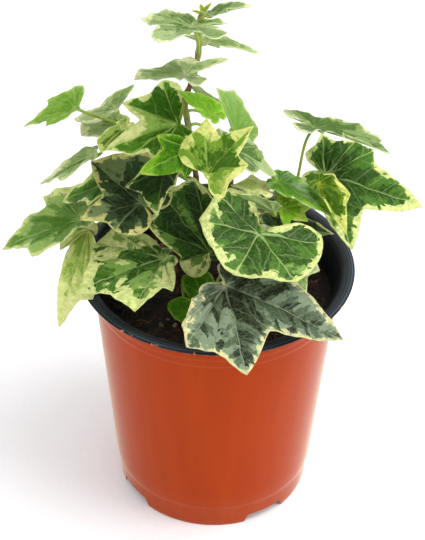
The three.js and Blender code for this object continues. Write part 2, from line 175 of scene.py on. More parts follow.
def plain_lobes(base, side, tip):
    """Five lobes, alike left and right, of a leaf at the back."""
    return [(-115, base, 0.8), (-52, side, 0.75), (0, tip, 0.75), (52, side, 0.8), (115, base)]


# at: where the petiole meets the blade. turn: heading of the tip, its rise and the roll of the blade.
# stem, s: where the petiole starts. lobes: angle from the midrib, length, and how much of the shorter
# length is left before the next lobe, if not all. finish: one of FINISHES. margin: width of the pale
# edge. contrast: how much neighbouring patches differ. tones: for each lobe, or for its left and right
# half, how pale it is, from 0 dark to 1 cream. notch: angle of the base's notch. veins: how clearly the
# main veins, the side veins and the net show. rough, gloss: roughness and specular level of the wax.
# front_large is rounder on its left here than its CAD solid.
Leaf = namedtuple("Leaf", "at turn stem s lobes finish margin contrast tones notch veins rough gloss",
                  defaults=(NOTCH_ANGLE, (0.4, 0.1, 0.06), 0.42, 0.12))
# What the unfolding leaves share
BUD_LEAF = Leaf(None, None, None, None, None, "olive", 0.3, 0.2, [0.3, 0.5, 0.3])
LEAVES = {
    "top_left": Leaf((-11, -11, 242), (171, -1, 11), "main", 0.77,
        [(-123, 20, 0.65), (-77, 32, 0.6), (16, 22.5), (32, 20), (52, 16.5, 0.35), (136, 12),
         (154, 14)],
        "sage", 1.3, 0.42, [0.5, 0.5, (0.5, 0.62), 0.55, 0.42, 0.38, 0.35]),
    "top_right": Leaf((-4, 9, 236), (-7, 21, -13), "main", 0.95,
        [(-100, 6), (-55, 12), (-10, 16.5, 0.9), (14, 8), (63, 7)],
        "sage", 1, 0.38, [0.25, 0.25, 0.45, 0.35, 0.25]),
    "upper_right": Leaf((-6, 14, 220), (-6, -6, -8), "main", 0.82,
        [(-161, 11, 0.5), (-100, 6, 0.9), (-29, 13.5), (-8, 22.5, 0.95), (30, 7, 0.9), (85, 4)],
        "sage", 1.5, 0.35, [0.6, 0.6, 0.5, 0.55, 0.7, 0.8]),
    "upper_left": Leaf((-14, -14, 222), (178, -3, 10), "main", 0.66,
        [(-106, 16, 0.6), (-82, 8), (3, 20), (23, 19.5, 0.9), (47, 12, 1.05), (99, 14.5, 0.75),
         (140, 21.5)],
        "sage", 1.6, 0.35, [0.6, 0.6, 0.6, 0.6, 0.6, 0.9, 0.6], notch=155),
    "crown_left": Leaf((-17, -5, 193), (-158, -8, -28), "main", 0.5,
        [(-128, 8), (-37, 19.5, 0.92), (-16, 23.5, 1.1), (1, 31, 0.64), (42, 24, 0.85), (92, 19.5)],
        "vivid", 2.2, 0.22, [0.15, 0.15, (0.15, 0.3), (0.45, 0.75), (0.7, 0.15), 0.12],
        notch=130, veins=(0.6, 0.2, 0.06)),
    "lime_centre": Leaf((-11, -17, 189), (-145, -4, -63), "main", 0.44,
        [(-110, 5), (-56, 12, 0.85), (-2, 24.5, 0.8), (41, 17, 0.8), (95, 6)],
        "lime", 0.8, 0.3, [0.2, 0.3, 0.45, 0.3, 0.2], veins=(0.8, 0.2, 0.1)),
    "folded": Leaf((-4, -32, 188), (24, 47, 13), "main", 0.38,
        [(-86, 18), (-49, 22.5, 0.68), (0, 26, 0.8), (41, 19.5, 0.95), (93, 14.5)],
        "mottled", 3, 0.56, [0.4, 0.38, (0.36, 0), (0.15, 0.6), 0.62], notch=118),
    "crown_back": Leaf((7, 16, 174), (93, 20, 49), "main", 0.42,
        [(-87, 5, 0.9), (-36, 21.5, 0.96), (8, 27.5), (41, 18), (64, 15.5), (105, 9)],
        "young", 0.9, 0.24, [0.4, 0.3, 0.4, 0.4, 0.4, 0.4]),
    "lime_crown": Leaf((-3, -7, 199), (170, 37, 0), "main", 0.55,
        [(-100, 5), (-59, 8), (5, 18), (35, 11), (120, 8)],
        "young_lime", 0.5, 0.26, [0.5, 0.5, 0.55, 0.5, 0.5]),
    "crown_edge": Leaf((-1, 14, 187), (165, 50, 75), "main", 0.46,
        [(-100, 4, 0.9), (-45, 7), (0, 17), (45, 7, 0.9), (100, 4)],
        "sage", 1.6, 0.3, [0.85, 0.85, 0.9, 0.85, 0.85]),
    "mid_right": Leaf((3, -2, 181), (-12, -28, -12), "main", 0.4,
        [(-90, 10), (-61, 18, 0.92), (-10, 25.5, 0.85), (48, 20.5, 0.9), (100, 9)],
        "sage", 1.6, 0.6, [0.3, 0.35, 0.4, 0.4, 0.35], veins=(0.6, 0.3, 0.1)),
    "dark_left": Leaf((-32, -13, 159), (142, 18, -21), "left", 0.6,
        [(-95, 17), (-63, 26, 0.6), (2, 29.5, 1.05), (58, 22.5), (110, 14)],
        "dusk", 2.8, 0.38, [0.36, (0.32, 0.38), (0.32, 0.48), (0.6, 0.42), 0.36]),
    "dark_hanging": Leaf((-22, -8, 173), (-100, -18, 24), "main", 0.33,
        [(-110, 8), (-69, 11), (-37, 13), (-1, 22.5, 0.8), (63, 18, 0.85), (110, 9)],
        "deep", 1.5, 0.25, [0.2, 0.2, 0.2, (0.15, 0.3), 0.25, 0.2]),
    "dark_upright": Leaf((-3, -11, 132), (110, 72, 0), "main", 0.14,
        [(-92, 14), (-54, 33), (-31, 36.5), (-5, 34), (50, 14, 0.9), (110, 5)],
        "deep", 1.8, 0.28, [(0.9, 0.6), (0.5, 0.2), (0.15, 0.55), (0.15, 0.15), 0.2, 0.2],
        veins=(0.5, 0.2, 0.08)),
    "heart": Leaf((17, -29, 156), (-116, -7, -21), "right", 0.45,
        [(-115, 26.5), (-62, 27, 0.95), (-2, 23.5), (63, 26, 0.97), (100, 24)],
        "bright", 4.2, 0.46, [0.12, (0.42, 0.16), (0.3, 0.12), (0.2, 0.1), 0.14],
        notch=150, veins=(0.6, 0.26, 0.08), gloss=0.2),
    "front_large": Leaf((4, -38, 136), (-20, -14, 11), "right", 0.25,
        [(-117, 11, 1.5), (-52, 34, 0.85), (-4, 53, 0.62), (57, 46, 0.97), (92, 39.5, 1.28),
         (107, 26, 1.45), (125, 13)],
        "grey", 1.9, 0.6, [0.4, (0.38, 0.5), (0.52, 0.36), (0.3, 0.45), 0.6, 0.62, 0.6],
        notch=152, veins=(0.6, 0.25, 0.12), gloss=0.25),
    "under_heart": Leaf((22, -13, 136), (4, -25, 14), "right", 0.35,
        [(-100, 12, 0.9), (-40, 26, 0.8), (-2, 26, 0.8), (46, 25, 0.8), (100, 12)],
        "sage", 2, 0.35, [0.3, 0.4, 0.5, 0.45, 0.3]),
    "cream_edged": Leaf((-22.6, -15.2, 131.6), (-154, 5, 0), "front", 0.95,
        [(-104, 7.5), (-74, 27), (-50, 41.8, 0.88), (-9, 41.7, 1.04), (38, 29.5, 0.95), (72, 27),
         (106, 7)],
        "bright", 10, 0.55, [0.5, 0.58, (0.58, 0.36), (0.26, 0.32), (0.32, 0.42), 0.42, 0.38],
        veins=(0.6, 0.25, 0.08)),
    "pale_hanging": Leaf((-55, 0, 135), (-104, -34, 10), "left", 0.48,
        [(-60, 5), (-18, 32), (5, 44, 0.7), (42, 15), (110, 9)],
        "cream", 3, 0.4, [0.7, 0.7, (0.8, 0.4), 0.8, 0.7]),
    "far_left": Leaf((-58, -3, 142), (-161, -13, 6), "left", 0.62,
        [(-100, 9), (-28, 28, 0.93), (8, 35.5, 1.05), (41, 24.5, 0.76), (66, 26, 0.98), (92, 23.5)],
        "fresh", 2.4, 0.38, [0.45, 0.45, 0.42, (0.36, 0.52), 0.6, 0.75]),
    "left_small": Leaf((-46, 1, 158), (168, -30, -12), "left", 0.7,
        [(-95, 7), (-55, 13, 0.9), (5, 26, 0.9), (50, 14, 0.9), (100, 6)],
        "vivid", 1.8, 0.3, [0.3, 0.3, (0.25, 0.3), 0.6, 0.6]),
    "left_narrow": Leaf((-52, -4, 176), (-168, -27, 8), "left", 0.85,
        [(-90, 5), (-25, 17), (7, 26, 0.95), (38, 12), (100, 6)],
        "sage", 1.4, 0.35, [0.5, 0.5, (0.4, 0.6), 0.5, 0.5]),
    "outer_left": Leaf((-58, 4, 194), (-169, -14, 4), "left", 0.95,
        [(-95, 4), (-29, 16, 0.88), (4, 23.5, 0.78), (47, 17, 0.78), (93, 15)],
        "apple", 0.7, 0.22, [0.45] * 5, notch=124),
    "left_fold": Leaf((-43, 16, 186), (172, -19, -17), "left", 1,
        [(-95, 3), (3, 20.5, 0.9), (26, 8.5, 0.8), (102, 10), (126, 13)],
        "sage", 1.2, 0.25, [0.7, 0.7, 0.7, 0.45, 0.4], notch=140),
    "left_back": Leaf((-42, 18, 176), (171, 0, -17), "left", 0.9,
        [(-100, 5), (-24, 16.5), (10, 17), (50, 11), (99, 6)],
        "sage", 2.4, 0.5, [0.7, 0.75, 0.7, 0.7, 0.7]),
    "pale_curl": Leaf((-38, 0, 188), (-150, -30, 0), "left", 0.97,
        [(-95, 5), (-38, 9, 1.1), (-4, 15), (26, 14, 0.7), (70, 6), (100, 5)],
        "cream", 1.5, 0.6, [0.5, 0.5, 0.4, 0.5, 0.6, 0.3]),
    "glossy": Leaf((25, -2, 163), (-25, -14, 10), "right", 0.75,
        [(-98, 6, 1.1), (-50, 9, 1.1), (1, 27, 1.1), (40, 9), (98, 6)],
        "lime", 0.6, 0.3, [0.45, 0.5, (0.5, 0.55), 0.5, 0.5], rough=0.26, gloss=0.6),
    "lime_right": Leaf((27, -8, 154), (-45, -25, 0), "right", 0.86,
        [(-133, 8, 0.8), (-62, 13.5, 0.8), (-28, 12, 0.6), (30, 10.5, 0.8), (90, 4)],
        "lime", 1.2, 0.26, [0.85, 0.8, 0.85, 0.8, 0.8]),
    "right_upper": Leaf((39.8, 14, 179.9), (-11, -5, -16), "right", 0.95,
        [(-134, 18.5, 0.4), (-40, 21), (-18, 28.7), (14, 34.5, 0.9), (24, 15), (60, 9), (89, 14)],
        "sage", 1.6, 0.42, [(0.6, 0.1), 0.28, 0.28, 0.3, 0.3, 0.3, 0.25]),
    "right_large": Leaf((46, 16, 154), (-12, -15, 23), "right", 0.92,
        [(-142, 13.7), (-114, 19.5, 0.81), (-72, 21), (-51, 25, 0.89), (-6, 44.5, 0.6), (57, 37.4, 0.9),
         (110, 14)],
        "bright", 2.4, 0.4, [0.25, 0.25, 0.25, (0.25, 0.3), (0.3, 0.15), (0.2, 0.25), 0.3],
        veins=(0.6, 0.2, 0.08)),
    "right_curled": Leaf((41, -6, 165.6), (-50, -40, 20), "right", 1.0,
        [(-134, 4.5), (-92, 8), (-44, 14.5), (-2, 24.5, 0.85), (14, 6), (60, 3)],
        "olive", 2, 0.56, [0.1, 0.3, 0.4, 0.25, 0.05, 0.05]),
    "round_a": Leaf((-6, -16, 114), (115, 30, 0), "front", 0.42,
        [(-100, 6, 1.2), (-45, 10, 1.1), (0, 11, 1.1), (45, 10, 1.2), (100, 6)],
        "lime", 0.4, 0.15, [0.4] * 5, veins=(0.15, 0.05, 0.03)),
    "round_b": Leaf((-12.5, -30.5, 114), (130, 25, 0), "front", 0.5,
        [(-100, 5, 1.2), (-45, 8, 1.1), (0, 9, 1.1), (45, 8, 1.2), (100, 5)],
        "lime", 0.4, 0.15, [0.4] * 5, veins=(0.15, 0.05, 0.03)),
    "lime_strip": Leaf((23, -19, 161), (-156, 42, 60), "right", 0.6,
        [(-80, 4), (-25, 8, 1.1), (0, 24, 1.1), (25, 8), (80, 4)],
        "bright", 0.8, 0.35, [0.05, 0.05, 0.1, 0.05, 0.05]),
    "cream_mid": Leaf((19, -5, 161), (175, 10, 0), "right", 0.66,
        [(-100, 6, 0.9), (-50, 10, 0.9), (0, 14, 0.9), (50, 10, 0.9), (100, 6)],
        "cream", 3.6, 0.4, [0.95, 0.95, 0.85, 0.95, 0.95]),
    "grey_mid": Leaf((14, -8, 152), (140, 30, 0), "right", 0.5,
        [(-100, 5, 0.9), (-50, 8, 0.9), (0, 12, 0.9), (50, 8, 0.9), (100, 5)],
        "grey", 1, 0.3, [0.65] * 5),
    "back_low": Leaf((0, 53, 138), (88, -35, 0), "back", 0.7,
        plain_lobes(16, 26, 35),
        "bright", 2.6, 0.4, [0.4, (0.4, 0.3), (0.3, 0.5), (0.5, 0.3), 0.4]),
    "back_left": Leaf((-26, 32, 150), (135, -25, 0), "back", 0.6,
        plain_lobes(14, 23, 28),
        "deep", 2.2, 0.4, [0.4, (0.3, 0.5), (0.3, 0.3), 0.4, 0.3]),
    "back_right": Leaf((19, 34, 124), (65, -10, 0), "back", 0.4,
        plain_lobes(12, 19, 24),
        "grey", 2.2, 0.45, [0.5, 0.4, (0.6, 0.3), 0.4, 0.5]),
    "back_mid": Leaf((-2, 30, 160), (95, -25, 0), "back", 1,
        plain_lobes(13, 21, 26),
        "bright", 2.4, 0.4, [0.3, (0.5, 0.3), 0.4, 0.5, 0.4]),
    "back_low_left": Leaf((-32, 26, 126), (150, -12, 0), "back", 0.35,
        plain_lobes(13, 21, 26),
        "sage", 2.2, 0.4, [0.5, 0.4, (0.5, 0.6), 0.4, 0.5]),
    "back_low_right": Leaf((27, 12, 128), (10, -6, 0), "back", 0.3,
        plain_lobes(12, 20, 25),
        "deep", 2, 0.4, [0.3, 0.4, (0.3, 0.5), 0.4, 0.3]),
    "back_upper": Leaf((-22, 22, 168), (110, -25, 0), "main", 0.37,
        plain_lobes(10, 16, 20),
        "fresh", 1.8, 0.3, [0.5, 0.4, 0.5, 0.4, 0.5]),
}
# Colours of each kind of leaf: darkest patches, the green, paler patches, pale edge and veins
FINISHES = {
    "deep": ("#132c03", "#25460a", "#5a7a32", "#cbcd86", "#7b9448"),
    "dusk": ("#17280a", "#2f4426", "#68794c", "#d4ca7c", "#839560"),
    "vivid": ("#2c5a02", "#447410", "#8aab4c", "#d8da94", "#a3c45a"),
    "bright": ("#264c06", "#426e18", "#7a9e48", "#dade92", "#b8cc86"),
    "mottled": ("#3a6408", "#6f962c", "#a3b850", "#dfdf88", "#b4cc64"),
    "fresh": ("#487418", "#5f8638", "#8ca858", "#d0d68c", "#b0c872"),
    "young": ("#6c9838", "#7a9e46", "#90ae5c", "#b8c878", "#a6c070"),
    "grey": ("#1a260d", "#4a5b40", "#7a8a6e", "#dad098", "#a4ae8e"),
    "sage": ("#4c6c28", "#7b9453", "#9cb074", "#dadcaa", "#b2c288"),
    "cream": ("#4a6c14", "#94b04a", "#bacc6c", "#e4e69e", "#ced684"),
    "lime": ("#2f6600", "#4a7c04", "#6c9c1c", "#a2b848", "#84a834"),
    "young_lime": ("#4a8202", "#6a9e14", "#8cb23e", "#b6c864", "#9ebc4e"),
    "olive": ("#355800", "#5c7c06", "#98a63a", "#d6d67c", "#a4b848"),
    "apple": ("#5c8a20", "#719a34", "#8eab4c", "#b6c676", "#a5c068"),
}

# Materials


def linear(colour):
    """An sRGB hex colour as linear red, green, blue and alpha."""
    parts = [int(colour[i:i + 2], 16) / 255 for i in (1, 3, 5)]
    return [c / 12.92 if c <= 0.04045 else ((c + 0.055) / 1.055) ** 2.4 for c in parts] + [1.0]


def feed(node, inputs):
    """Give a node its inputs, in order or by name: a value, a socket, or a node for its first output.
    A map range's are its value, the ends of the range that it maps, and what those ends become."""
    for name, value in inputs.items() if isinstance(inputs, dict) else enumerate(inputs):
        if isinstance(value, bpy.types.Node):
            value = value.outputs[0]
        if isinstance(value, bpy.types.NodeSocket):
            node.id_data.links.new(value, node.inputs[name])
        else:
            node.inputs[name].default_value = value


def add_node(tree, kind, inputs=(), stops=(), **settings):
    """Add a node with its settings and what feeds it. stops: the places and colours of a ramp."""
    made = tree.nodes.new(kind)
    for name, value in settings.items():
        setattr(made, name, value)
    feed(made, inputs)
    for i, (position, colour) in enumerate(stops):
        points = made.color_ramp.elements
        point = points[i] if i < 2 else points.new(position)
        point.position = position
        point.color = linear(colour)
    return made


def start_material(name):
    """A new material, what adds nodes to it, and its Principled shader."""
    material = bpy.data.materials.new(name)
    material.use_nodes = True
    tree = material.node_tree
    return material, partial(add_node, tree), tree.nodes["Principled BSDF"]


def per_mm(size):
    """Texture scale that repeats about once in size millimetres."""
    return 1 / (size * MM)


def waxy_leaf(name, leaf):
    """Ivy blade: a thin leaf under a coat of wax. The green lies in ragged patches between the side
    veins, paler toward the edge, where a band has lost its green altogether. The wax gives a soft
    sheen, and the thin blade lets a little light through."""
    deep, green, pale, edge_colour, vein = FINISHES[leaf.finish]
    margin, contrast = leaf.margin * MM, leaf.contrast
    show_main, show_rib, show_net = leaf.veins
    material, add, shader = start_material(name)
    place = add("ShaderNodeTexCoord").outputs["Object"]
    plan = add("ShaderNodeUVMap", uv_map="veins")
    edge, tone, under = (add("ShaderNodeAttribute", attribute_name=layer).outputs["Fac"]
                         for layer in ("edge", "tone", "under"))

    # Side veins wander by about a millimetre, and patches have feathered outlines
    wobble = add("ShaderNodeTexNoise", {"Vector": place, "Scale": per_mm(WOBBLE), "Detail": 5.0,
                                        "Roughness": 0.62})
    centred = add("ShaderNodeVectorMath", [wobble.outputs["Color"], (0.5, 0.5, 0.5)],
                  operation="SUBTRACT")
    moved = add("ShaderNodeVectorMath", [centred, (WANDER * MM, WANDER * MM, 0.0), plan],
                operation="MULTIPLY_ADD")
    split = add("ShaderNodeSeparateXYZ", [moved]).outputs
    across = add("ShaderNodeMath", [split[1]], operation="ABSOLUTE")
    right = add("ShaderNodeMath", [split[1], 0.0], operation="GREATER_THAN")
    lean = add("ShaderNodeMath", [across, -RIB_LEAN, split[0]], operation="MULTIPLY_ADD")
    straight = add("ShaderNodeSeparateXYZ", [plan]).outputs
    beside = add("ShaderNodeMath", [straight[1]], operation="ABSOLUTE")
    on_right = add("ShaderNodeMath", [straight[1], 0.0], operation="GREATER_THAN")
    half = add("ShaderNodeMath", [on_right, 0.5], operation="MULTIPLY")
    slant = add("ShaderNodeMath", [beside, -RIB_LEAN, straight[0]], operation="MULTIPLY_ADD")
    drift = add("ShaderNodeMath", [wobble, RIB_WANDER * MM, slant], operation="MULTIPLY_ADD")
    count = add("ShaderNodeMath", [drift, per_mm(RIB_SPACING), half], operation="MULTIPLY_ADD")
    ribs = add("ShaderNodeMath", [count, 0.5], operation="PINGPONG")
    rib = add("ShaderNodeMapRange", [ribs, 0.015, 0.06, 1.0, 0.0], interpolation_type="SMOOTHSTEP")

    # The veins from the petiole to each lobe sway a little and narrow outward
    drifts = add("ShaderNodeTexNoise", {"Vector": place, "Scale": per_mm(DRIFT), "Detail": 2.0})
    width = add("ShaderNodeMapRange", [straight[0], 0.0, 40 * MM, VEIN_WIDE * MM, VEIN_FINE * MM])
    sway = add("ShaderNodeMapRange", [drifts, 0.2, 0.8, -SWAY * MM, SWAY * MM])
    swayed = add("ShaderNodeMath", [straight[1], sway], operation="ADD")
    off_vein = add("ShaderNodeMath", [swayed], operation="ABSOLUTE")
    share = add("ShaderNodeMath", [off_vein, width], operation="DIVIDE")
    main = add("ShaderNodeMapRange", [share, 0.3, 1.0, 1.0, 0.0], interpolation_type="SMOOTHSTEP")

    # Patches are longer along the side veins than across them, and paler toward the edge
    squeezed = add("ShaderNodeMath", [split[1], 0.6], operation="MULTIPLY")
    spot = add("ShaderNodeCombineXYZ", [lean, squeezed, right])
    cells = add("ShaderNodeTexVoronoi", {"Vector": spot, "Scale": per_mm(PATCH)})
    lot = add("ShaderNodeSeparateColor", [cells.outputs["Color"]]).outputs
    mottle = add("ShaderNodeTexNoise", {"Vector": place, "Scale": per_mm(MOTTLE), "Detail": 4.0,
                                        "Roughness": 0.65})
    patch = add("ShaderNodeMath", [lot[0], contrast, tone], operation="MULTIPLY_ADD")
    speck = add("ShaderNodeMath", [mottle, 0.4, patch], operation="MULTIPLY_ADD")
    share_out = add("ShaderNodeMapRange", [drifts, 0.33, 0.67, 0.15, 1.0])
    fading = add("ShaderNodeMapRange", [edge, 0.0, margin * 3.2, 0.5, 0.0])
    fade = add("ShaderNodeMath", [fading, share_out], operation="MULTIPLY")
    faded = add("ShaderNodeMath", [speck, fade], operation="ADD")
    level = add("ShaderNodeMath", [faded, contrast / 2 + 0.24], operation="SUBTRACT")
    body = add("ShaderNodeValToRGB", [level], stops=[(0.0, deep), (0.3, deep), (0.36, green),
                                                     (0.56, green), (0.63, pale), (0.86, pale),
                                                     (0.94, edge_colour)])

    # The pale band steps in and out from patch to patch
    stepped = add("ShaderNodeMath", [lot[1], 1.6, 0.2], operation="MULTIPLY_ADD")
    varied = add("ShaderNodeMath", [stepped, share_out], operation="MULTIPLY")
    from_stalk = add("ShaderNodeVectorMath", [plan], operation="LENGTH").outputs[1]
    outer_share = add("ShaderNodeMapRange", [from_stalk, 3 * MM, 12 * MM, 0.0, margin])
    reach = add("ShaderNodeMath", [varied, outer_share], operation="MULTIPLY")
    ragged = add("ShaderNodeMath", [mottle, RAGGED * MM, edge], operation="MULTIPLY_ADD")
    inside = add("ShaderNodeMath", [reach, ragged], operation="SUBTRACT")
    band = add("ShaderNodeMapRange", [inside, -1.2 * MM, -0.8 * MM])
    fleck = add("ShaderNodeMapRange", [mottle, 0.35, 0.62, 0.45, 0.0])
    creamy = add("ShaderNodeMix", {0: fleck, 6: linear(edge_colour), 7: linear(pale)},
                 data_type="RGBA").outputs[2]
    edged = add("ShaderNodeMix", {0: band, 6: body, 7: creamy}, data_type="RGBA").outputs[2]

    # Between the side veins lies a net of finer ones, drawn coarser than the real one, so that it shows
    knotted = add("ShaderNodeVectorMath", [centred, (NET_WANDER * MM,) * 3, place],
                  operation="MULTIPLY_ADD")
    mesh = add("ShaderNodeTexVoronoi", {"Vector": knotted, "Scale": per_mm(NET)},
               feature="DISTANCE_TO_EDGE")
    net = add("ShaderNodeMapRange", [mesh, 0.02, 0.1, show_net, 0.0], interpolation_type="SMOOTHSTEP")
    rib_show = add("ShaderNodeMath", [rib, show_rib], operation="MULTIPLY")
    main_show = add("ShaderNodeMath", [main, show_main], operation="MULTIPLY")
    larger = add("ShaderNodeMath", [rib_show, main_show], operation="MAXIMUM")
    shown = add("ShaderNodeMath", [larger, net], operation="MAXIMUM")
    veined = add("ShaderNodeMix", {0: shown, 6: edged, 7: linear(vein)}, data_type="RGBA").outputs[2]
    below = add("ShaderNodeMath", [under, 0.6], operation="MULTIPLY")
    turned = add("ShaderNodeMix", {0: below, 6: veined, 7: linear("#9fb573")},
                 data_type="RGBA").outputs[2]
    tissue = add("ShaderNodeMapRange", [mottle, 0.3, 0.7, 0.78, 0.98])
    coloured = add("ShaderNodeVectorMath", {0: turned, "Scale": tissue}, operation="SCALE")

    sunk = add("ShaderNodeMath", [shown, -0.8, mottle], operation="MULTIPLY_ADD")
    bump = add("ShaderNodeBump", {"Height": sunk, "Strength": 0.6, "Distance": 0.4 * MM})
    feed(shader, {
        "Base Color": coloured, "Normal": bump, "Roughness": leaf.rough, "IOR": 1.45,
        "Specular IOR Level": leaf.gloss, "Subsurface Weight": 0.2,
        "Subsurface Radius": (0.6, 1.0, 0.25), "Subsurface Scale": 1 * MM})
    return material


def petiole_skin():
    """Ivy petiole: smooth green stalk with a thin skin, which gives a faint sheen, and is flushed with
    brown-red here and there."""
    material, add, shader = start_material("petiole_green_stalk")
    place = add("ShaderNodeTexCoord").outputs["Object"]
    flush = add("ShaderNodeTexNoise", {"Vector": place, "Scale": per_mm(14), "Detail": 3.0})
    colour = add("ShaderNodeValToRGB", [flush], stops=[(0.3, "#93ad30"), (0.5, "#7f9a2a"),
                                                       (0.66, "#7a7a30"), (0.8, "#80603a")])
    grain = add("ShaderNodeTexNoise", {"Vector": place, "Scale": per_mm(0.8), "Detail": 2.0})
    bump = add("ShaderNodeBump", {"Height": grain, "Strength": 0.3, "Distance": 0.2 * MM})
    feed(shader, {"Base Color": colour, "Normal": bump, "Roughness": 0.45})
    return material


def stem_bark():
    """Young ivy stem: thin bark that is dark reddish brown, turning olive green toward the tips, with a
    fine grain along the stem that keeps it nearly matt."""
    material, add, shader = start_material("young_bark_stem")
    place = add("ShaderNodeTexCoord").outputs["Object"]
    height = add("ShaderNodeSeparateXYZ", [place]).outputs[2]
    patch = add("ShaderNodeTexNoise", {"Vector": place, "Scale": per_mm(9), "Detail": 4.0})
    green = add("ShaderNodeMapRange", [height, 120 * MM, 260 * MM, -0.05, 0.25])
    level = add("ShaderNodeMath", [patch, green], operation="ADD")
    colour = add("ShaderNodeValToRGB", [level], stops=[(0.35, "#3a1712"), (0.48, "#5c2f1c"),
                                                       (0.6, "#73602a"), (0.74, "#86923a")])
    stretch = add("ShaderNodeMapping", {"Vector": place, "Scale": (1.0, 1.0, 0.25)})
    grain = add("ShaderNodeTexNoise", {"Vector": stretch, "Scale": per_mm(0.5), "Detail": 3.0})
    bump = add("ShaderNodeBump", {"Height": grain, "Strength": 0.5, "Distance": 0.3 * MM})
    feed(shader, {"Base Color": colour, "Normal": bump, "Roughness": 0.6})
    return material


def terracotta_plastic():
    """Polypropylene, injection moulded, terracotta colour: satin, faintly streaked down the draw of the
    mould, with fine scuffs and a little dust above the foot."""
    material, add, shader = start_material("polypropylene_terracotta_satin")
    place = add("ShaderNodeTexCoord").outputs["Object"]
    drawn = add("ShaderNodeMapping", {"Vector": place, "Scale": (1.0, 1.0, 0.08)})
    streak = add("ShaderNodeTexNoise", {"Vector": drawn, "Scale": per_mm(6), "Detail": 4.0})
    colour = add("ShaderNodeValToRGB", [streak], stops=[(0.3, "#9c3301"), (0.5, "#9f3501"),
                                                        (0.7, "#a23802")])
    scuff = add("ShaderNodeTexNoise", {"Vector": place, "Scale": per_mm(3), "Detail": 6.0,
                                       "Roughness": 0.7})
    height = add("ShaderNodeSeparateXYZ", [place]).outputs[2]
    low = add("ShaderNodeMapRange", [height, 0.0, 22 * MM, 0.1, 0.0])
    dust = add("ShaderNodeMath", [low, scuff], operation="MULTIPLY")
    dusty = add("ShaderNodeMix", {0: dust, 6: colour, 7: linear("#c9a58c")}, data_type="RGBA").outputs[2]
    rough = add("ShaderNodeMapRange", [scuff, 0.3, 0.7, 0.34, 0.44])
    grit = add("ShaderNodeTexNoise", {"Vector": place, "Scale": per_mm(0.7), "Detail": 2.0})
    bump = add("ShaderNodeBump", {"Height": grit, "Strength": 0.12, "Distance": 0.2 * MM})
    feed(shader, {
        "Base Color": dusty, "Roughness": rough, "Normal": bump, "IOR": 1.49,
        "Specular IOR Level": 0.0, "Sheen Weight": 1.0, "Sheen Roughness": 0.27,
        "Sheen Tint": linear("#fff0da"), "Coat Weight": 0.8, "Coat Roughness": 0.3, "Coat IOR": 1.17})
    return material


def black_plastic():
    """Polypropylene, black inner layer of the two-colour moulding, turned out over the lip: satin, with
    pale blue-grey lines round the lip that are painted highlights, and specks of the orange layer where
    it ends under the lip."""
    material, add, shader = start_material("polypropylene_black_rim")
    place = add("ShaderNodeTexCoord").outputs["Object"]
    cloud = add("ShaderNodeTexNoise", {"Vector": place, "Scale": per_mm(8), "Detail": 4.0})
    colour = add("ShaderNodeValToRGB", [cloud], stops=[(0.35, "#0d1215"), (0.65, "#181f23")])
    height = add("ShaderNodeSeparateXYZ", [place]).outputs[2]
    chip = add("ShaderNodeTexNoise", {"Vector": place, "Scale": per_mm(2.2), "Detail": 3.0})
    border = add("ShaderNodeMapRange", [height, SEAM_LOW * MM, SEAM_HIGH * MM, 0.62, 0.42])
    over = add("ShaderNodeMath", [border, chip], operation="ADD")
    level = add("ShaderNodeVectorMath", [place, (1.0, 1.0, 0.0)], operation="MULTIPLY")
    from_axis = add("ShaderNodeVectorMath", [level], operation="LENGTH").outputs[1]
    outward = add("ShaderNodeMapRange", [from_axis, (RIM_R - 1.2) * MM, (RIM_R - 0.6) * MM])
    # Painted highlights: pale blue-grey lines round the lip's shoulder, set by distance from the axis
    # and lightening the black
    lines = add("ShaderNodeMapRange", [from_axis, (RIM_R - 4.6) * MM, RIM_R * MM])
    painted_lip_highlights = add("ShaderNodeValToRGB", [lines], stops=[(0.0, "#000000"), (0.42, "#1c2228"),
                                                     (0.5, "#3e4a58"), (0.56, "#1c2228"),
                                                     (0.66, "#1a2026"), (0.74, "#566478"),
                                                     (0.82, "#232b34"), (0.94, "#000000")])
    highlighted_black = add("ShaderNodeMix", {0: 0.7, 6: colour, 7: painted_lip_highlights}, data_type="RGBA",
                blend_type="LIGHTEN").outputs[2]
    seen = add("ShaderNodeMath", [over, outward], operation="MULTIPLY")
    specks = add("ShaderNodeMapRange", [seen, 1.08, 1.12])
    specked = add("ShaderNodeMix", {0: specks, 6: highlighted_black, 7: linear("#c07850")},
                  data_type="RGBA").outputs[2]
    bump = add("ShaderNodeBump", {"Height": cloud, "Strength": 0.2, "Distance": 0.3 * MM})
    feed(shader, {"Base Color": specked, "Normal": bump, "Roughness": 0.42, "IOR": 1.49,
                  "Specular IOR Level": 0.3})
    return material


def crumbly(name, size, grain, stops):
    """Parts of potting mix: matt and crumbly, in patches of size mm and grains of grain mm, which catch
    no shine at all."""
    material, add, shader = start_material(name)
    place = add("ShaderNodeTexCoord").outputs["Object"]
    patch = add("ShaderNodeTexNoise", {"Vector": place, "Scale": per_mm(size), "Detail": 5.0,
                                       "Roughness": 0.65})
    colour = add("ShaderNodeValToRGB", [patch], stops=stops)
    grit = add("ShaderNodeTexNoise", {"Vector": place, "Scale": per_mm(grain), "Detail": 3.0})
    bump = add("ShaderNodeBump", {"Height": grit, "Strength": 0.9, "Distance": 0.6 * MM})
    feed(shader, {"Base Color": colour, "Normal": bump, "Roughness": 0.95})
    return material


# Geometry Nodes trees


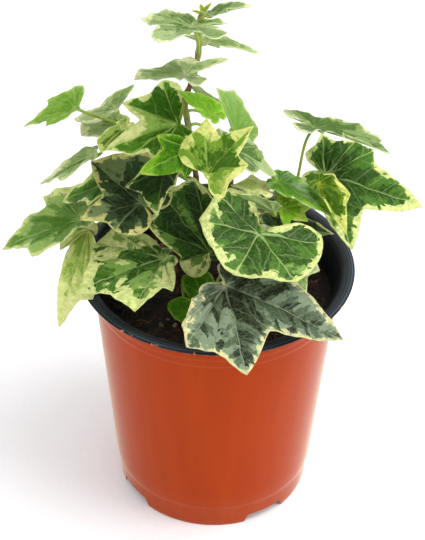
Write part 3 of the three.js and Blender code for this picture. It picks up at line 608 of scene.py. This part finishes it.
def start_tree(name, sockets):
    """A Geometry Nodes tree with its named inputs, what adds nodes to it, what its inputs give, and its
    last node, which takes the finished mesh."""
    tree = bpy.data.node_groups.new(name, "GeometryNodeTree")
    tree.interface.new_socket("Geometry", in_out="INPUT", socket_type="NodeSocketGeometry")
    for label, kind, value in sockets:
        socket = tree.interface.new_socket(label, in_out="INPUT", socket_type="NodeSocket" + kind)
        if value is not None:
            socket.default_value = value
    tree.interface.new_socket("Geometry", in_out="OUTPUT", socket_type="NodeSocketGeometry")
    given = tree.nodes.new("NodeGroupInput").outputs
    return tree, partial(add_node, tree), given, tree.nodes.new("NodeGroupOutput")


def stalk_tree():
    """Sweeps a round stalk along a curve, thicker where it ends, and adds it to the mesh given."""
    tree, add, given, out = start_tree("stalk", [
        ("Path", "Object", None), ("Radius", "Float", 0.65 * MM), ("Sides", "Int", 10),
        ("Steps", "Int", 24), ("Swelling", "Float", 0.35), ("Skin", "Material", None)])
    path = add("GeometryNodeObjectInfo", {"Object": given["Path"]}).outputs["Geometry"]
    even = add("GeometryNodeResampleCurve", {"Curve": path, "Count": given["Steps"]})
    along = add("GeometryNodeSplineParameter")
    from_middle = add("ShaderNodeMath", [along, 2.0, -1.0], operation="MULTIPLY_ADD")
    size = add("ShaderNodeMath", [from_middle], operation="ABSOLUTE")
    ends = add("ShaderNodeMath", [size, 9.0], operation="POWER")
    swell = add("ShaderNodeMath", [ends, given["Swelling"], 1.0], operation="MULTIPLY_ADD")
    local = add("ShaderNodeMath", [swell, add("GeometryNodeInputRadius")], operation="MULTIPLY")
    radius = add("ShaderNodeMath", [local, given["Radius"]], operation="MULTIPLY")
    ring = add("GeometryNodeCurvePrimitiveCircle", {"Resolution": given["Sides"], "Radius": 1.0})
    swept = add("GeometryNodeCurveToMesh", {"Curve": even, "Profile Curve": ring, "Scale": radius,
                                            "Fill Caps": True})
    smooth = add("GeometryNodeSetShadeSmooth", {"Geometry": swept})
    whole = add("GeometryNodeRealizeInstances", [smooth])
    skinned = add("GeometryNodeSetMaterial", {"Geometry": whole, "Material": given["Skin"]})
    joined = add("GeometryNodeJoinGeometry", [given["Geometry"]])
    feed(joined, [skinned])
    feed(out, [joined])
    return tree


def foot_tree():
    """Cuts the gaps between the feet out of the pot's foot ring, evenly spaced round it."""
    tree, add, given, out = start_tree("foot_gaps", [
        ("Count", "Int", 4), ("First angle", "Float", 0.0), ("Width", "Float", 22 * MM),
        ("Height", "Float", 4.5 * MM), ("Taper", "Float", 2.5 * MM), ("Ring radius", "Float", 41 * MM),
        ("Outside", "Material", None), ("Inside", "Material", None)])
    below = 1 * MM  # the cutters start under the pot, so that no skin is left
    half = add("ShaderNodeMath", [given["Width"], math.sqrt(0.5)], operation="MULTIPLY")
    taper = add("ShaderNodeMath", [given["Taper"], -math.sqrt(2), half], operation="MULTIPLY_ADD")
    depth = add("ShaderNodeMath", [given["Height"], below], operation="ADD")
    wedge = add("GeometryNodeMeshCone", {"Vertices": 4, "Radius Top": taper, "Radius Bottom": half,
                                         "Depth": depth})
    square = add("GeometryNodeTransform", {"Geometry": wedge, "Translation": (0.0, 0.0, -below),
                                           "Rotation": (0.0, 0.0, math.pi / 4)})
    thin = add("GeometryNodeTransform", {"Geometry": square, "Scale": (GAP_DEPTH, 1.0, 1.0)})
    spots = add("GeometryNodeMeshCircle", {"Vertices": given["Count"], "Radius": given["Ring radius"]})
    index = add("GeometryNodeInputIndex")
    portion = add("ShaderNodeMath", [2 * math.pi, given["Count"]], operation="DIVIDE")
    angle = add("ShaderNodeMath", [index, portion], operation="MULTIPLY")
    turn = add("ShaderNodeCombineXYZ", {2: angle})
    placed = add("GeometryNodeInstanceOnPoints", {"Points": spots, "Instance": thin, "Rotation": turn})
    first = add("ShaderNodeCombineXYZ", {2: given["First angle"]})
    turned = add("GeometryNodeTransform", {"Geometry": placed, "Rotation": first})
    cutters = add("GeometryNodeRealizeInstances", [turned])
    cut = add("GeometryNodeMeshBoolean", {"Mesh 1": given["Geometry"], "Mesh 2": cutters},
              operation="DIFFERENCE", solver="EXACT")
    outside = add("GeometryNodeSetMaterial", {"Geometry": cut, "Material": given["Outside"]})
    dark = add("GeometryNodeInputNamedAttribute", {"Name": "inner_layer"}, data_type="BOOLEAN")
    inside = add("GeometryNodeSetMaterial", {"Geometry": outside, "Selection": dark,
                                             "Material": given["Inside"]})
    feed(out, [inside])
    return tree


def litter_tree():
    """Scatters bark chips, fibres and pale clumps over the surface given."""
    tree, add, given, out = start_tree("potting_mix", [
        ("Chips per m2", "Float", 60000.0), ("Chip size", "Float", 1.1 * MM),
        ("Fibres per m2", "Float", 26000.0), ("Fibre length", "Float", 6 * MM),
        ("Fibre radius", "Float", 0.16 * MM), ("Clumps per m2", "Float", 5000.0),
        ("Clump size", "Float", 1.8 * MM), ("Seed", "Int", 5),
        ("Bark", "Material", None), ("Coir", "Material", None), ("Wood", "Material", None)])
    chip = add("GeometryNodeMeshIcoSphere", {"Radius": given["Chip size"], "Subdivisions": 1})
    flat_chip = add("GeometryNodeTransform", {"Geometry": chip, "Scale": (1.5, 0.9, 0.5)})
    clump = add("GeometryNodeMeshIcoSphere", {"Radius": given["Clump size"], "Subdivisions": 1})
    flat_clump = add("GeometryNodeTransform", {"Geometry": clump, "Scale": (1.3, 1.0, 0.7)})
    reach = add("ShaderNodeMath", [given["Fibre length"], 0.5], operation="MULTIPLY")
    back = add("ShaderNodeMath", [given["Fibre length"], -0.5], operation="MULTIPLY")
    start = add("ShaderNodeCombineXYZ", [back])
    arch = add("ShaderNodeCombineXYZ", {1: reach, 2: reach})
    end = add("ShaderNodeCombineXYZ", [reach])
    bow = add("GeometryNodeCurveQuadraticBezier", {"Resolution": 5, "Start": start, "Middle": arch,
                                                   "End": end})
    hair = add("GeometryNodeCurvePrimitiveCircle", {"Resolution": 3, "Radius": given["Fibre radius"]})
    fibre = add("GeometryNodeCurveToMesh", {"Curve": bow, "Profile Curve": hair, "Fill Caps": True})
    kinds = [
        (flat_chip, "Chips per m2", "Bark", 0, (0.6, 0.6, math.pi), 0.35, 1.6),
        (fibre, "Fibres per m2", "Coir", 1, (0.5, 0.5, math.pi), 0.4, 1.3),
        (flat_clump, "Clumps per m2", "Wood", 2, (1.2, 1.2, math.pi), 0.4, 1.5),
    ]
    joined = add("GeometryNodeJoinGeometry")
    for shape, density, skin, step, tilt, smallest, largest in kinds:
        seed = add("ShaderNodeMath", [given["Seed"], float(step)], operation="ADD")
        spots = add("GeometryNodeDistributePointsOnFaces", {"Mesh": given["Geometry"],
                                                            "Density": given[density], "Seed": seed})
        turn = add("FunctionNodeRandomValue", {0: tuple(-t for t in tilt), 1: tilt, "Seed": seed},
                   data_type="FLOAT_VECTOR")
        scale = add("FunctionNodeRandomValue", {2: smallest, 3: largest, "Seed": seed},
                    data_type="FLOAT").outputs[1]
        placed = add("GeometryNodeInstanceOnPoints", {"Points": spots, "Instance": shape,
                                                      "Rotation": turn, "Scale": scale})
        whole = add("GeometryNodeRealizeInstances", [placed])
        skinned = add("GeometryNodeSetMaterial", {"Geometry": whole, "Material": given[skin]})
        feed(joined, [skinned])
    feed(out, [joined])
    return tree


def placed_object(name, data):
    """A new object in the scene, at the origin."""
    made = bpy.data.objects.new(name, data)
    bpy.context.scene.collection.objects.link(made)
    return made


def grown(name, mesh, tree, values):
    """The mesh that a Geometry Nodes tree makes from a mesh, with values for the tree's inputs."""
    carrier = placed_object(name, mesh)
    modifier = carrier.modifiers.new("made", "NODES")
    modifier.node_group = tree
    for item in tree.interface.items_tree:
        if item.in_out == "INPUT" and item.name in values:
            modifier[item.identifier] = values[item.name]
    bpy.context.view_layer.update()
    depsgraph = bpy.context.evaluated_depsgraph_get()
    made = bpy.data.meshes.new_from_object(carrier.evaluated_get(depsgraph), depsgraph=depsgraph)
    carrier.modifiers.remove(modifier)
    bpy.data.objects.remove(carrier)
    made.name = name
    return made


# Pieces


def piece(name, mesh, slot, *nodes):
    """A finished piece that rides on the part's one body and stands for CAD nodes."""
    made = placed_object(name, mesh)
    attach(made, "root")
    if nodes:
        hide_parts(*nodes)


def path_object(name, points, radii=None, handles=None):
    """A curve through points in mm; handles makes it one Bezier span from the first to the last."""
    curve = bpy.data.curves.new(name, "CURVE")
    curve.dimensions = "3D"
    if handles:
        spline = curve.splines.new("BEZIER")
        spline.bezier_points.add(1)
        for point, place, handle in zip(spline.bezier_points, points, handles):
            point.handle_left_type = point.handle_right_type = "FREE"
            point.co = Vector(place) * MM
            point.handle_left = point.handle_right = Vector(handle) * MM
        curve.resolution_u = 24
    else:
        spline = curve.splines.new("POLY")
        spline.points.add(len(points) - 1)
        for point, place, radius in zip(spline.points, points, radii):
            point.co = (*(Vector(place) * MM), 1.0)
            point.radius = radius
    return placed_object(name, curve)


def on_curve(points, share):
    """The point at a share of the way along the smooth curve through points."""
    knots = [Vector(p) for p in points]
    place = (len(knots) - 1) * share
    i = min(int(place), len(knots) - 2)
    t = place - i
    before = knots[i - 1] if i else 2 * knots[0] - knots[1]
    after = knots[i + 2] if i + 2 < len(knots) else 2 * knots[-1] - knots[-2]
    leave, arrive = (knots[i + 1] - before) / 2, (after - knots[i]) / 2
    return (knots[i] * (2 * t ** 3 - 3 * t ** 2 + 1) + leave * (t ** 3 - 2 * t ** 2 + t)
            + knots[i + 1] * (3 * t ** 2 - 2 * t ** 3) + arrive * (t ** 3 - t ** 2))


def edge_rows(lobes, notch):
    """Samples along a blade's edge from the left of its base to the right: angle in degrees, length,
    nearness to a lobe's tip, distance from the vein as a share of the way to the next lobe's, lobe,
    and side, -1 or 1, of the strip that follows."""
    rows = []

    def base(k, side, forward):
        """The rounded quarter from the notch to the tip of the first or last lobe."""
        angle, length = lobes[k][:2]
        end = 1 + 0.1 * length
        span = length * math.radians(abs(side * notch - angle)) + length - end
        count = max(4, round(span / MESH_STEP))
        for i in range(count) if forward else range(count, -1, -1):
            along = math.cos(math.pi / 2 * i / count)
            round_out = math.sqrt(1 - along * along)
            rows.append((angle + (side * notch - angle) * along, end + (length - end) * round_out,
                         1 - along, along, k, side))

    base(0, -1, True)
    for k in range(len(lobes) - 1):
        (angle, length, cut), (next_angle, next_length) = (*lobes[k], 1)[:3], lobes[k + 1][:2]
        low = cut * min(length, next_length)
        middle = angle + (next_angle - angle) * length / (length + next_length)
        for near, size, own, side in ((angle, length, k, 1), (next_angle, next_length, k + 1, -1)):
            span = math.hypot(size - low, size * math.radians(middle - near))
            count = max(3, round(span / MESH_STEP))
            for i in range(count):
                u = 1 - i / count if side > 0 else i / count
                rows.append((middle + (near - middle) * u, low + (size - low) * abs(u) ** LOBE_CURVE,
                             u, 1 - u, own, side))
    base(len(lobes) - 1, 1, False)
    return rows


def set_layer(mesh, name, domain, values):
    """Give a mesh a named value at each of its points or face corners."""
    layer = mesh.attributes.new(name, "FLOAT", domain)
    layer.data.foreach_set("value", np.asarray(values, np.float32))


def blade_axes(heading, rise, roll):
    """Directions of a blade's right side, its midrib and its upper face."""
    h, p = math.radians(heading), math.radians(rise)
    midrib = Vector((math.cos(h) * math.cos(p), math.sin(h) * math.cos(p), math.sin(p)))
    side = Matrix.Rotation(math.radians(roll), 3, midrib) @ Vector((math.sin(h), -math.cos(h), 0))
    return side, midrib, side.cross(midrib)


def blade_mesh(name, leaf, seed):
    """A leaf blade: closed, with ribs, quilting and a thin edge, and what its material needs to know:
    the place beside its own vein, the distance from the edge, its tone and which face it is."""
    draw = random.Random(seed)
    lobes = leaf.lobes
    rows = edge_rows(lobes, leaf.notch)
    angle, length, peak, apart = (np.array([row[i] for row in rows]) for i in range(4))
    lobe, side = (np.array([row[i] for row in rows]) for i in (4, 5))
    angle = np.radians(angle)
    vein = np.radians([lobes[k][0] for k in lobe])
    count = len(rows)
    reach = max(row[1] for row in lobes)
    rings = max(8, round(reach / MESH_STEP))
    share = (np.arange(1, rings + 1) / rings)[:, None]

    x, y = share * length * np.sin(angle), share * length * np.cos(angle)
    along = share * length * np.cos(angle - vein)
    across = np.abs(share * length * np.sin(angle - vein))
    rise = math.tan(math.radians(FOLD)) * (np.hypot(x, TROUGH) - TROUGH)
    fall = BEND * reach * (np.maximum(y, 0) / reach) ** 2
    ripple = WAVE * reach * (1 - peak) * share ** 2
    phase = 2 * np.pi * ((along - RIB_LEAN * across) / RIB_SPACING + 0.5 * (side > 0))
    beside = np.minimum(across / QUILT_START, 1)
    quilt = -QUILT * np.cos(phase) * (1 - apart ** 2) * beside * (1 - share ** 4)
    puff = PUFF * reach * np.sin(np.pi * apart) * 4 * share * (1 - share)
    groove = GROOVE * np.exp(-(across / GROOVE_W) ** 2) * (1 - share)
    arc = np.cumsum(np.hypot(np.diff(length, prepend=length[0]),
                             length * np.diff(angle, prepend=angle[0])))
    turns = 2 * np.pi * np.round(arc[-1] / RUFFLE_STEP) / arc[-1]
    ruffle = RUFFLE * share ** 4 * (np.sin(arc * turns + draw.uniform(0, 6))
                                    + 0.5 * np.sin(2.3 * arc * turns + draw.uniform(0, 6)))
    z = rise - fall + ripple + quilt + puff - groove + ruffle

    planar = np.vstack([[0, 0], np.stack([x.ravel(), y.ravel()], 1)])
    middle = np.column_stack([planar, np.concatenate([[-GROOVE], z.ravel()])])
    here, after = np.arange(count), (np.arange(count) + 1) % count
    fan = np.stack([np.zeros(count, int), 1 + after, 1 + here], 1)
    ring = 1 + count * np.arange(rings - 1)[:, None]
    quads = np.stack([ring + here, ring + after, ring + count + after, ring + count + here], 2)
    quads = quads.reshape(-1, 4)

    normal = np.zeros_like(middle)
    for corners in (fan, quads):
        a, b, c = middle[corners[:, 0]], middle[corners[:, 1]], middle[corners[:, 2]]
        face_normal = np.cross(b - a, c - a)
        for column in corners.T:
            np.add.at(normal, column, face_normal)
    normal /= np.linalg.norm(normal, axis=1)[:, None]
    flat_share = np.concatenate([[0], np.broadcast_to(share, x.shape).ravel()])
    flat_across = np.concatenate([[0], across.ravel()])
    half = ((BLADE + (BLADE_EDGE - BLADE) * flat_share ** 3) / 2)[:, None]
    keel = KEEL * np.exp(-(flat_across / MIDRIB_R) ** 2) * (1 - flat_share)
    upper, lower = middle + half * normal, middle - half * normal - keel[:, None] * normal
    total = len(middle)
    outer = 1 + count * (rings - 1)
    rim = np.stack([outer + here, outer + after, total + outer + after, total + outer + here], 1)

    axes = np.array([tuple(axis) for axis in blade_axes(*leaf.turn)])
    points = (np.vstack([upper, lower]) @ axes + np.array(leaf.at)) * MM
    groups = [(fan, here), (quads, np.tile(here, rings - 1)), (total + fan[:, ::-1], here),
              (total + quads[:, ::-1], np.tile(here, rings - 1)), (rim, here)]
    faces = [face for corners, strip in groups for face in corners.tolist()]
    mesh = bpy.data.meshes.new(name)
    mesh.from_pydata(points.tolist(), [], faces)
    mesh.shade_smooth()

    corner = np.concatenate([corners.ravel() for corners, strip in groups]) % total
    strip = np.concatenate([np.repeat(strip, corners.shape[1]) for corners, strip in groups])
    own, flank = vein[strip], side[strip]
    px, py = planar[corner].T * MM
    veins = np.stack([px * np.sin(own) + py * np.cos(own),
                      flank * np.abs(px * np.cos(own) - py * np.sin(own))], 1)
    layer = mesh.uv_layers.new(name="veins")
    layer.data.foreach_set("uv", veins.astype(np.float32).ravel())

    pairs = [tone if isinstance(tone, tuple) else (tone, tone) for tone in leaf.tones]
    at_sample = np.where(corner > 0, (corner - 1) % count, strip)
    tones = []
    for k, s, f in zip(lobe[strip], flank, apart[at_sample]):
        mine = pairs[k][1 if s > 0 else 0]
        other = k + s
        theirs = pairs[other][0 if s > 0 else 1] if 0 <= other < len(lobes) else mine
        blend = min(max((f - 0.5) / 0.5, 0), 1) ** 2 / 2
        tones.append(mine + (theirs - mine) * blend)
    set_layer(mesh, "tone", "CORNER", tones)

    edge = planar[outer:outer + count]
    step = np.roll(edge, -1, 0) - edge
    offset = planar[:, None] - edge
    t = np.clip((offset * step).sum(2) / (step ** 2).sum(1), 0, 1)
    distance = np.linalg.norm(offset - t[..., None] * step, axis=2).min(1)
    tipward = np.concatenate([[0], (share ** 2 * peak ** 2).ravel()])
    set_layer(mesh, "edge", "POINT", np.tile(distance * (1 - 0.5 * tipward) * MM, 2))
    set_layer(mesh, "under", "POINT", np.repeat([0.0, 1.0], total))
    return mesh


def petiole_path(name, leaf):
    """The petiole's line, from under the blade's middle to the stem."""
    _, midrib, normal = blade_axes(*leaf.turn)
    at = Vector(leaf.at)
    root = on_curve(STEMS[leaf.stem][1], leaf.s)
    reach = PETIOLE_PULL * (at - root).length
    outward = Vector((at.x - root.x, at.y - root.y, 0)).normalized()
    outward.z = PETIOLE_CLIMB
    leave = at - PETIOLE_BACK * reach * midrib - PETIOLE_DOWN * reach * normal
    arrive = root + reach * outward.normalized()
    start = at - PETIOLE_SINK * normal
    return path_object(name, [start, root], handles=[leave, arrive])


def make_leaves(stalks, petiole):
    """Every leaf with its own material, each a blade on its petiole."""
    for seed, (name, leaf) in enumerate(LEAVES.items()):
        mesh = blade_mesh(name, leaf, seed)
        mesh.materials.append(waxy_leaf(f"waxy_ivy_leaf_{name}", leaf))
        path = petiole_path(f"petiole_path_{name}", leaf)
        whole = grown(f"ivy_leaf_{name}", mesh, stalks, {
            "Path": path, "Radius": PETIOLE_R * MM, "Sides": 8, "Steps": 22, "Swelling": 0.3,
            "Skin": petiole})
        bpy.data.objects.remove(path)
        piece(f"ivy_leaf_{name}", whole, "leaf", f"leaf_{name}")


def make_stems(stalks, bark):
    """Stems, a little thicker where a petiole leaves them, with the unfolding leaves at their tips."""
    young = waxy_leaf("waxy_ivy_bud_leaf", BUD_LEAF)
    for name, (radius, points) in STEMS.items():
        knots = [on_curve(points, leaf.s) for leaf in LEAVES.values() if leaf.stem == name]
        line = [on_curve(points, i / STEM_STEPS) for i in range(STEM_STEPS + 1)]
        sizes = []
        for point in line:
            near = min((point - knot).length for knot in knots)
            sizes.append(STEM_PLAIN + KNOT_SWELL * math.exp(-(near / KNOT_LENGTH) ** 2)
                         + STEM_UNEVEN * noise.noise(point / UNEVEN_SIZE))
        buds = bmesh.new()
        for seed, (stem, foot, heading, rise, length) in enumerate(BUDS):
            if stem == name:
                side = BUD_SIDE * length
                small = BUD_LEAF._replace(at=foot, turn=(heading, rise, 0),
                                          lobes=[(-60, side), (0, length), (60, side)])
                buds.from_mesh(blade_mesh(f"bud_{seed}", small, seed))
        base = bpy.data.meshes.new(f"buds_{name}")
        buds.to_mesh(base)
        buds.free()
        base.materials.append(young)
        runs = [(radius, line, sizes, STEM_STEPS)]
        if TWIG[0] == name:
            twig = [on_curve(TWIG[2], i / TWIG_STEPS) for i in range(TWIG_STEPS + 1)]
            runs.append((TWIG[1], twig, [1.0] * len(twig), 12))
        for thickness, run, swells, steps in runs:
            path = path_object(f"stem_path_{name}", run, radii=swells)
            base = grown(f"ivy_stem_{name}", base, stalks, {
                "Path": path, "Radius": thickness * MM, "Sides": 14, "Steps": steps, "Swelling": 0.0,
                "Skin": bark})
            bpy.data.objects.remove(path)
        piece(f"ivy_stem_{name}", base, "stem", f"stem_{name}")


def wall_at(z):
    """The radius of the pot's tapered wall at a height."""
    return BASE_R + (NECK_R - 2 * STEP - BASE_R) * z / (POT_H - RIM_DROP)


def on_wall(z, out=0):
    """A point of the pot's profile at a height, out mm outside its tapered wall."""
    return wall_at(z) + out, z


def rounded(points, passes):
    """Cuts the corners of an open line, again and again, which leaves a smooth bend."""
    near, far = 0.75, 0.25
    for _ in range(passes):
        cut = [points[0]]
        for (r1, z1), (r2, z2) in zip(points, points[1:]):
            cut += [(near * r1 + far * r2, near * z1 + far * z2),
                    (far * r1 + near * r2, far * z1 + near * z2)]
        points = cut + [points[-1]]
    return points


def make_pot(outside, inside):
    """Thin-walled pot: foot ring with gaps, moulded lines, and a thin lip turned outward."""
    under = POT_H - RIM_DROP
    base = FLOOR_Z + FLOOR_T
    shell = [on_wall(0, -0.3), on_wall(0.4)]
    shell += rounded([on_wall(2), on_wall(STEP_Z - 2), on_wall(STEP_Z, 0.8 * STEP),
                      on_wall(STEP_Z + 4, STEP)], 3)
    shell += [on_wall(z, STEP) for z in range(STEP_Z + 8, COLLAR_Z - 4, 6)]
    shell += rounded([on_wall(COLLAR_Z - 3, STEP), on_wall(COLLAR_Z - 2, STEP),
                      on_wall(COLLAR_Z - 1, 1.5 * STEP), on_wall(COLLAR_Z + 2, 1.5 * STEP),
                      on_wall(COLLAR_Z + 3, 2 * STEP), (NECK_R - 0.1, under - 1.3)], 2)
    shell += [(NECK_R + 0.4, under - 0.4)]
    lip = rounded([(RIM_R - 2.4, under + 0.1), (RIM_R - 0.6, under - 0.1), (RIM_R, under + 0.6),
                   (RIM_R - 0.3, POT_H - 0.3), (RIM_R - 2.6, POT_H), (RIM_R - 4.9, POT_H - 0.4),
                   (RIM_R - 6.6, POT_H - 2.2), on_wall(under - THROAT, -WALL)], 3)
    bore = [on_wall(z, -WALL) for z in (100, 80, 60, 40, 20, base)] + [(FLOOR_R, base)]
    foot = [(FLOOR_R, FLOOR_Z), on_wall(FLOOR_Z, -WALL), on_wall(0, -WALL)]
    profile = [*shell, *lip, *bore, (0, base), (0, FLOOR_Z), *foot]
    dark = range(len(shell), len(shell) + len(lip) + len(bore))

    mesh = bmesh.new()
    layer = mesh.faces.layers.bool.new("inner_layer")
    turns = [2 * math.pi * i / POT_SIDES for i in range(POT_SIDES)]
    rings = []
    for r, z in profile:
        if r == 0:
            rings.append([mesh.verts.new((0, 0, z * MM))] * POT_SIDES)
            continue
        rings.append([mesh.verts.new((r * MM * math.cos(t), r * MM * math.sin(t), z * MM))
                      for t in turns])
    for k, ring in enumerate(rings):
        above = rings[(k + 1) % len(rings)]
        for i in range(POT_SIDES):
            j = (i + 1) % POT_SIDES
            corners = list(dict.fromkeys([ring[i], ring[j], above[j], above[i]]))
            if len(corners) > 2:
                face = mesh.faces.new(corners)
                face[layer] = k in dark
    lathe = bpy.data.meshes.new("pot_lathe")
    mesh.to_mesh(lathe)
    mesh.free()
    made = grown("nursery_pot", lathe, foot_tree(), {
        "Count": GAP_COUNT, "First angle": math.radians(GAP_FIRST), "Width": GAP_W * MM,
        "Height": GAP_H * MM, "Taper": GAP_TAPER * MM, "Ring radius": (BASE_R - GAP_IN) * MM,
        "Outside": outside, "Inside": inside})
    made.shade_smooth()
    made.set_sharp_from_angle(angle=math.radians(POT_SHARP))
    piece("nursery_pot", made, "pot", "pot")


def make_soil(peat, bark, coir, wood):
    """A crumbly mound down to the pot's floor, and the chips and fibres that lie on it."""
    wall = wall_at(SOIL_Z) - WALL - SOIL_CLEAR
    low = wall_at(SOIL_LOW) - WALL - SOIL_CLEAR
    points, faces, open_soil = [], [], []
    for k in range(1, SOIL_RINGS + 1):
        r = wall * k / SOIL_RINGS
        crown = (SOIL_RISE * 0.6 * min(1, (wall - r) / (wall - CROWN_R))
                 + SOIL_RISE * 0.4 * max(0, 1 - r / CROWN_R))
        for i in range(SOIL_SIDES):
            turn = 2 * math.pi * i / SOIL_SIDES
            x, y = r * math.cos(turn), r * math.sin(turn)
            lumps = noise.fractal(Vector((x, y, 0)) / LUMP_SIZE, 0.6, 2.2, 5) * SOIL_ROUGH
            points.append((x * MM, y * MM, (SOIL_Z + crown + lumps - SOIL_SETTLED) * MM))
    for i in range(SOIL_SIDES):
        turn = 2 * math.pi * i / SOIL_SIDES
        points.append((low * math.cos(turn) * MM, low * math.sin(turn) * MM, SOIL_LOW * MM))
    top, bottom = len(points), len(points) + 1
    points += [(0, 0, (SOIL_Z + SOIL_RISE) * MM), (0, 0, SOIL_LOW * MM)]
    for i in range(SOIL_SIDES):
        j = (i + 1) % SOIL_SIDES
        faces.append((top, i, j))
        for k in range(SOIL_RINGS):
            a, b = k * SOIL_SIDES, (k + 1) * SOIL_SIDES
            faces.append((a + i, b + i, b + j, a + j))
            if k < SOIL_RINGS - BARE_RINGS:
                open_soil.append(faces[-1])
        last = SOIL_RINGS * SOIL_SIDES
        faces.append((bottom, last + j, last + i))
    mesh = bpy.data.meshes.new("potting_soil")
    mesh.from_pydata(points, [], faces)
    mesh.shade_smooth()
    mesh.set_sharp_from_angle(angle=math.radians(SOIL_SHARP))
    surface = bpy.data.meshes.new("soil_surface")
    surface.from_pydata(points, [], open_soil)
    litter = grown("potting_mix", surface, litter_tree(), {
        "Chips per m2": 90000.0, "Chip size": 1.1 * MM, "Fibres per m2": 22000.0,
        "Fibre length": 7 * MM, "Fibre radius": 0.18 * MM, "Clumps per m2": 5500.0,
        "Clump size": 1.6 * MM, "Seed": 5, "Bark": bark, "Coir": coir, "Wood": wood})
    mesh.materials.append(peat)
    piece("potting_soil", mesh, "soil", "soil")
    piece("potting_mix", litter, "soil")


def make_studio():
    """A pale floor under soft boxes, and the camera at the height and angle of the photograph."""
    paper = bpy.data.meshes.new("studio_floor")
    paper.from_pydata([(-FLOOR_REACH, -FLOOR_REACH, 0), (FLOOR_REACH, -FLOOR_REACH, 0),
                       (FLOOR_REACH, FLOOR_REACH, 0), (-FLOOR_REACH, FLOOR_REACH, 0)],
                      [], [(0, 1, 2, 3)])
    material, add, shader = start_material("matt_white_paper")
    place = add("ShaderNodeTexCoord").outputs["Object"]
    tooth = add("ShaderNodeTexNoise", {"Vector": place, "Scale": per_mm(2), "Detail": 2.0})
    colour = add("ShaderNodeValToRGB", [tooth], stops=[(0.3, "#f5f7f9"), (0.7, "#f8fafc")])
    feed(shader, {"Base Color": colour, "Roughness": 0.9})
    paper.materials.append(material)
    placed_object("studio_floor", paper)

    for name, (place, size, power) in SOFTBOXES.items():
        lamp = bpy.data.lights.new(name, "AREA")
        lamp.shape = "DISK"
        lamp.size = size
        lamp.energy = power
        light = placed_object(name, lamp)
        light.location = Vector(place) * MM
        aim = Vector(LAMP_TARGET) * MM - light.location
        light.rotation_euler = aim.to_track_quat("-Z", "Y").to_euler()
    world = bpy.data.worlds.new("studio_haze")
    world.use_nodes = True
    feed(world.node_tree.nodes["Background"], [linear("#ffffff"), HAZE])
    scene = bpy.context.scene
    scene.world = world
    scene.view_settings.view_transform = "Standard"

    pitch, yaw, roll = (math.radians(a) for a in CAMERA_TURN)
    forward = Vector((math.sin(yaw) * math.cos(pitch), math.cos(yaw) * math.cos(pitch),
                      -math.sin(pitch)))
    level = forward.cross(Vector((0, 0, 1))).normalized()
    upright = level.cross(forward)
    right = level * math.cos(roll) + upright * math.sin(roll)
    up = upright * math.cos(roll) - level * math.sin(roll)
    lens = bpy.data.cameras.new("camera")
    lens.lens = CAMERA_LENS
    lens.sensor_width = CAMERA_SENSOR
    lens.clip_end = CAMERA_SIGHT
    camera = placed_object("camera", lens)
    camera.matrix_world = Matrix.Translation(Vector(CAMERA_AT) * MM) @ Matrix(
        (right, up, -forward)).transposed().to_4x4()
    scene.camera = camera


make_studio()
stalks = stalk_tree()
make_pot(terracotta_plastic(), black_plastic())
# Milled peat, dark and damp; composted bark in flat brown chips; coir, the combed orange-brown fibre of
# coconut husk; and crumbs of pale untreated wood
make_soil(
    crumbly("peat_potting_soil", 5, 0.8, [(0.35, "#0d0806"), (0.55, "#1c120c"), (0.72, "#33211a")]),
    crumbly("composted_bark_chips", 7, 0.5, [(0.35, "#120b08"), (0.5, "#2c1a11"), (0.68, "#57341f")]),
    crumbly("coir_fibres", 9, 0.5, [(0.35, "#3c2215"), (0.5, "#6a3a20"), (0.65, "#94623a")]),
    crumbly("pale_wood_crumbs", 9, 0.5, [(0.35, "#5d4630"), (0.5, "#8f7552"), (0.65, "#b8a27c")]))
make_leaves(stalks, petiole_skin())
make_stems(stalks, stem_bark())

bpy.context.view_layer.update()
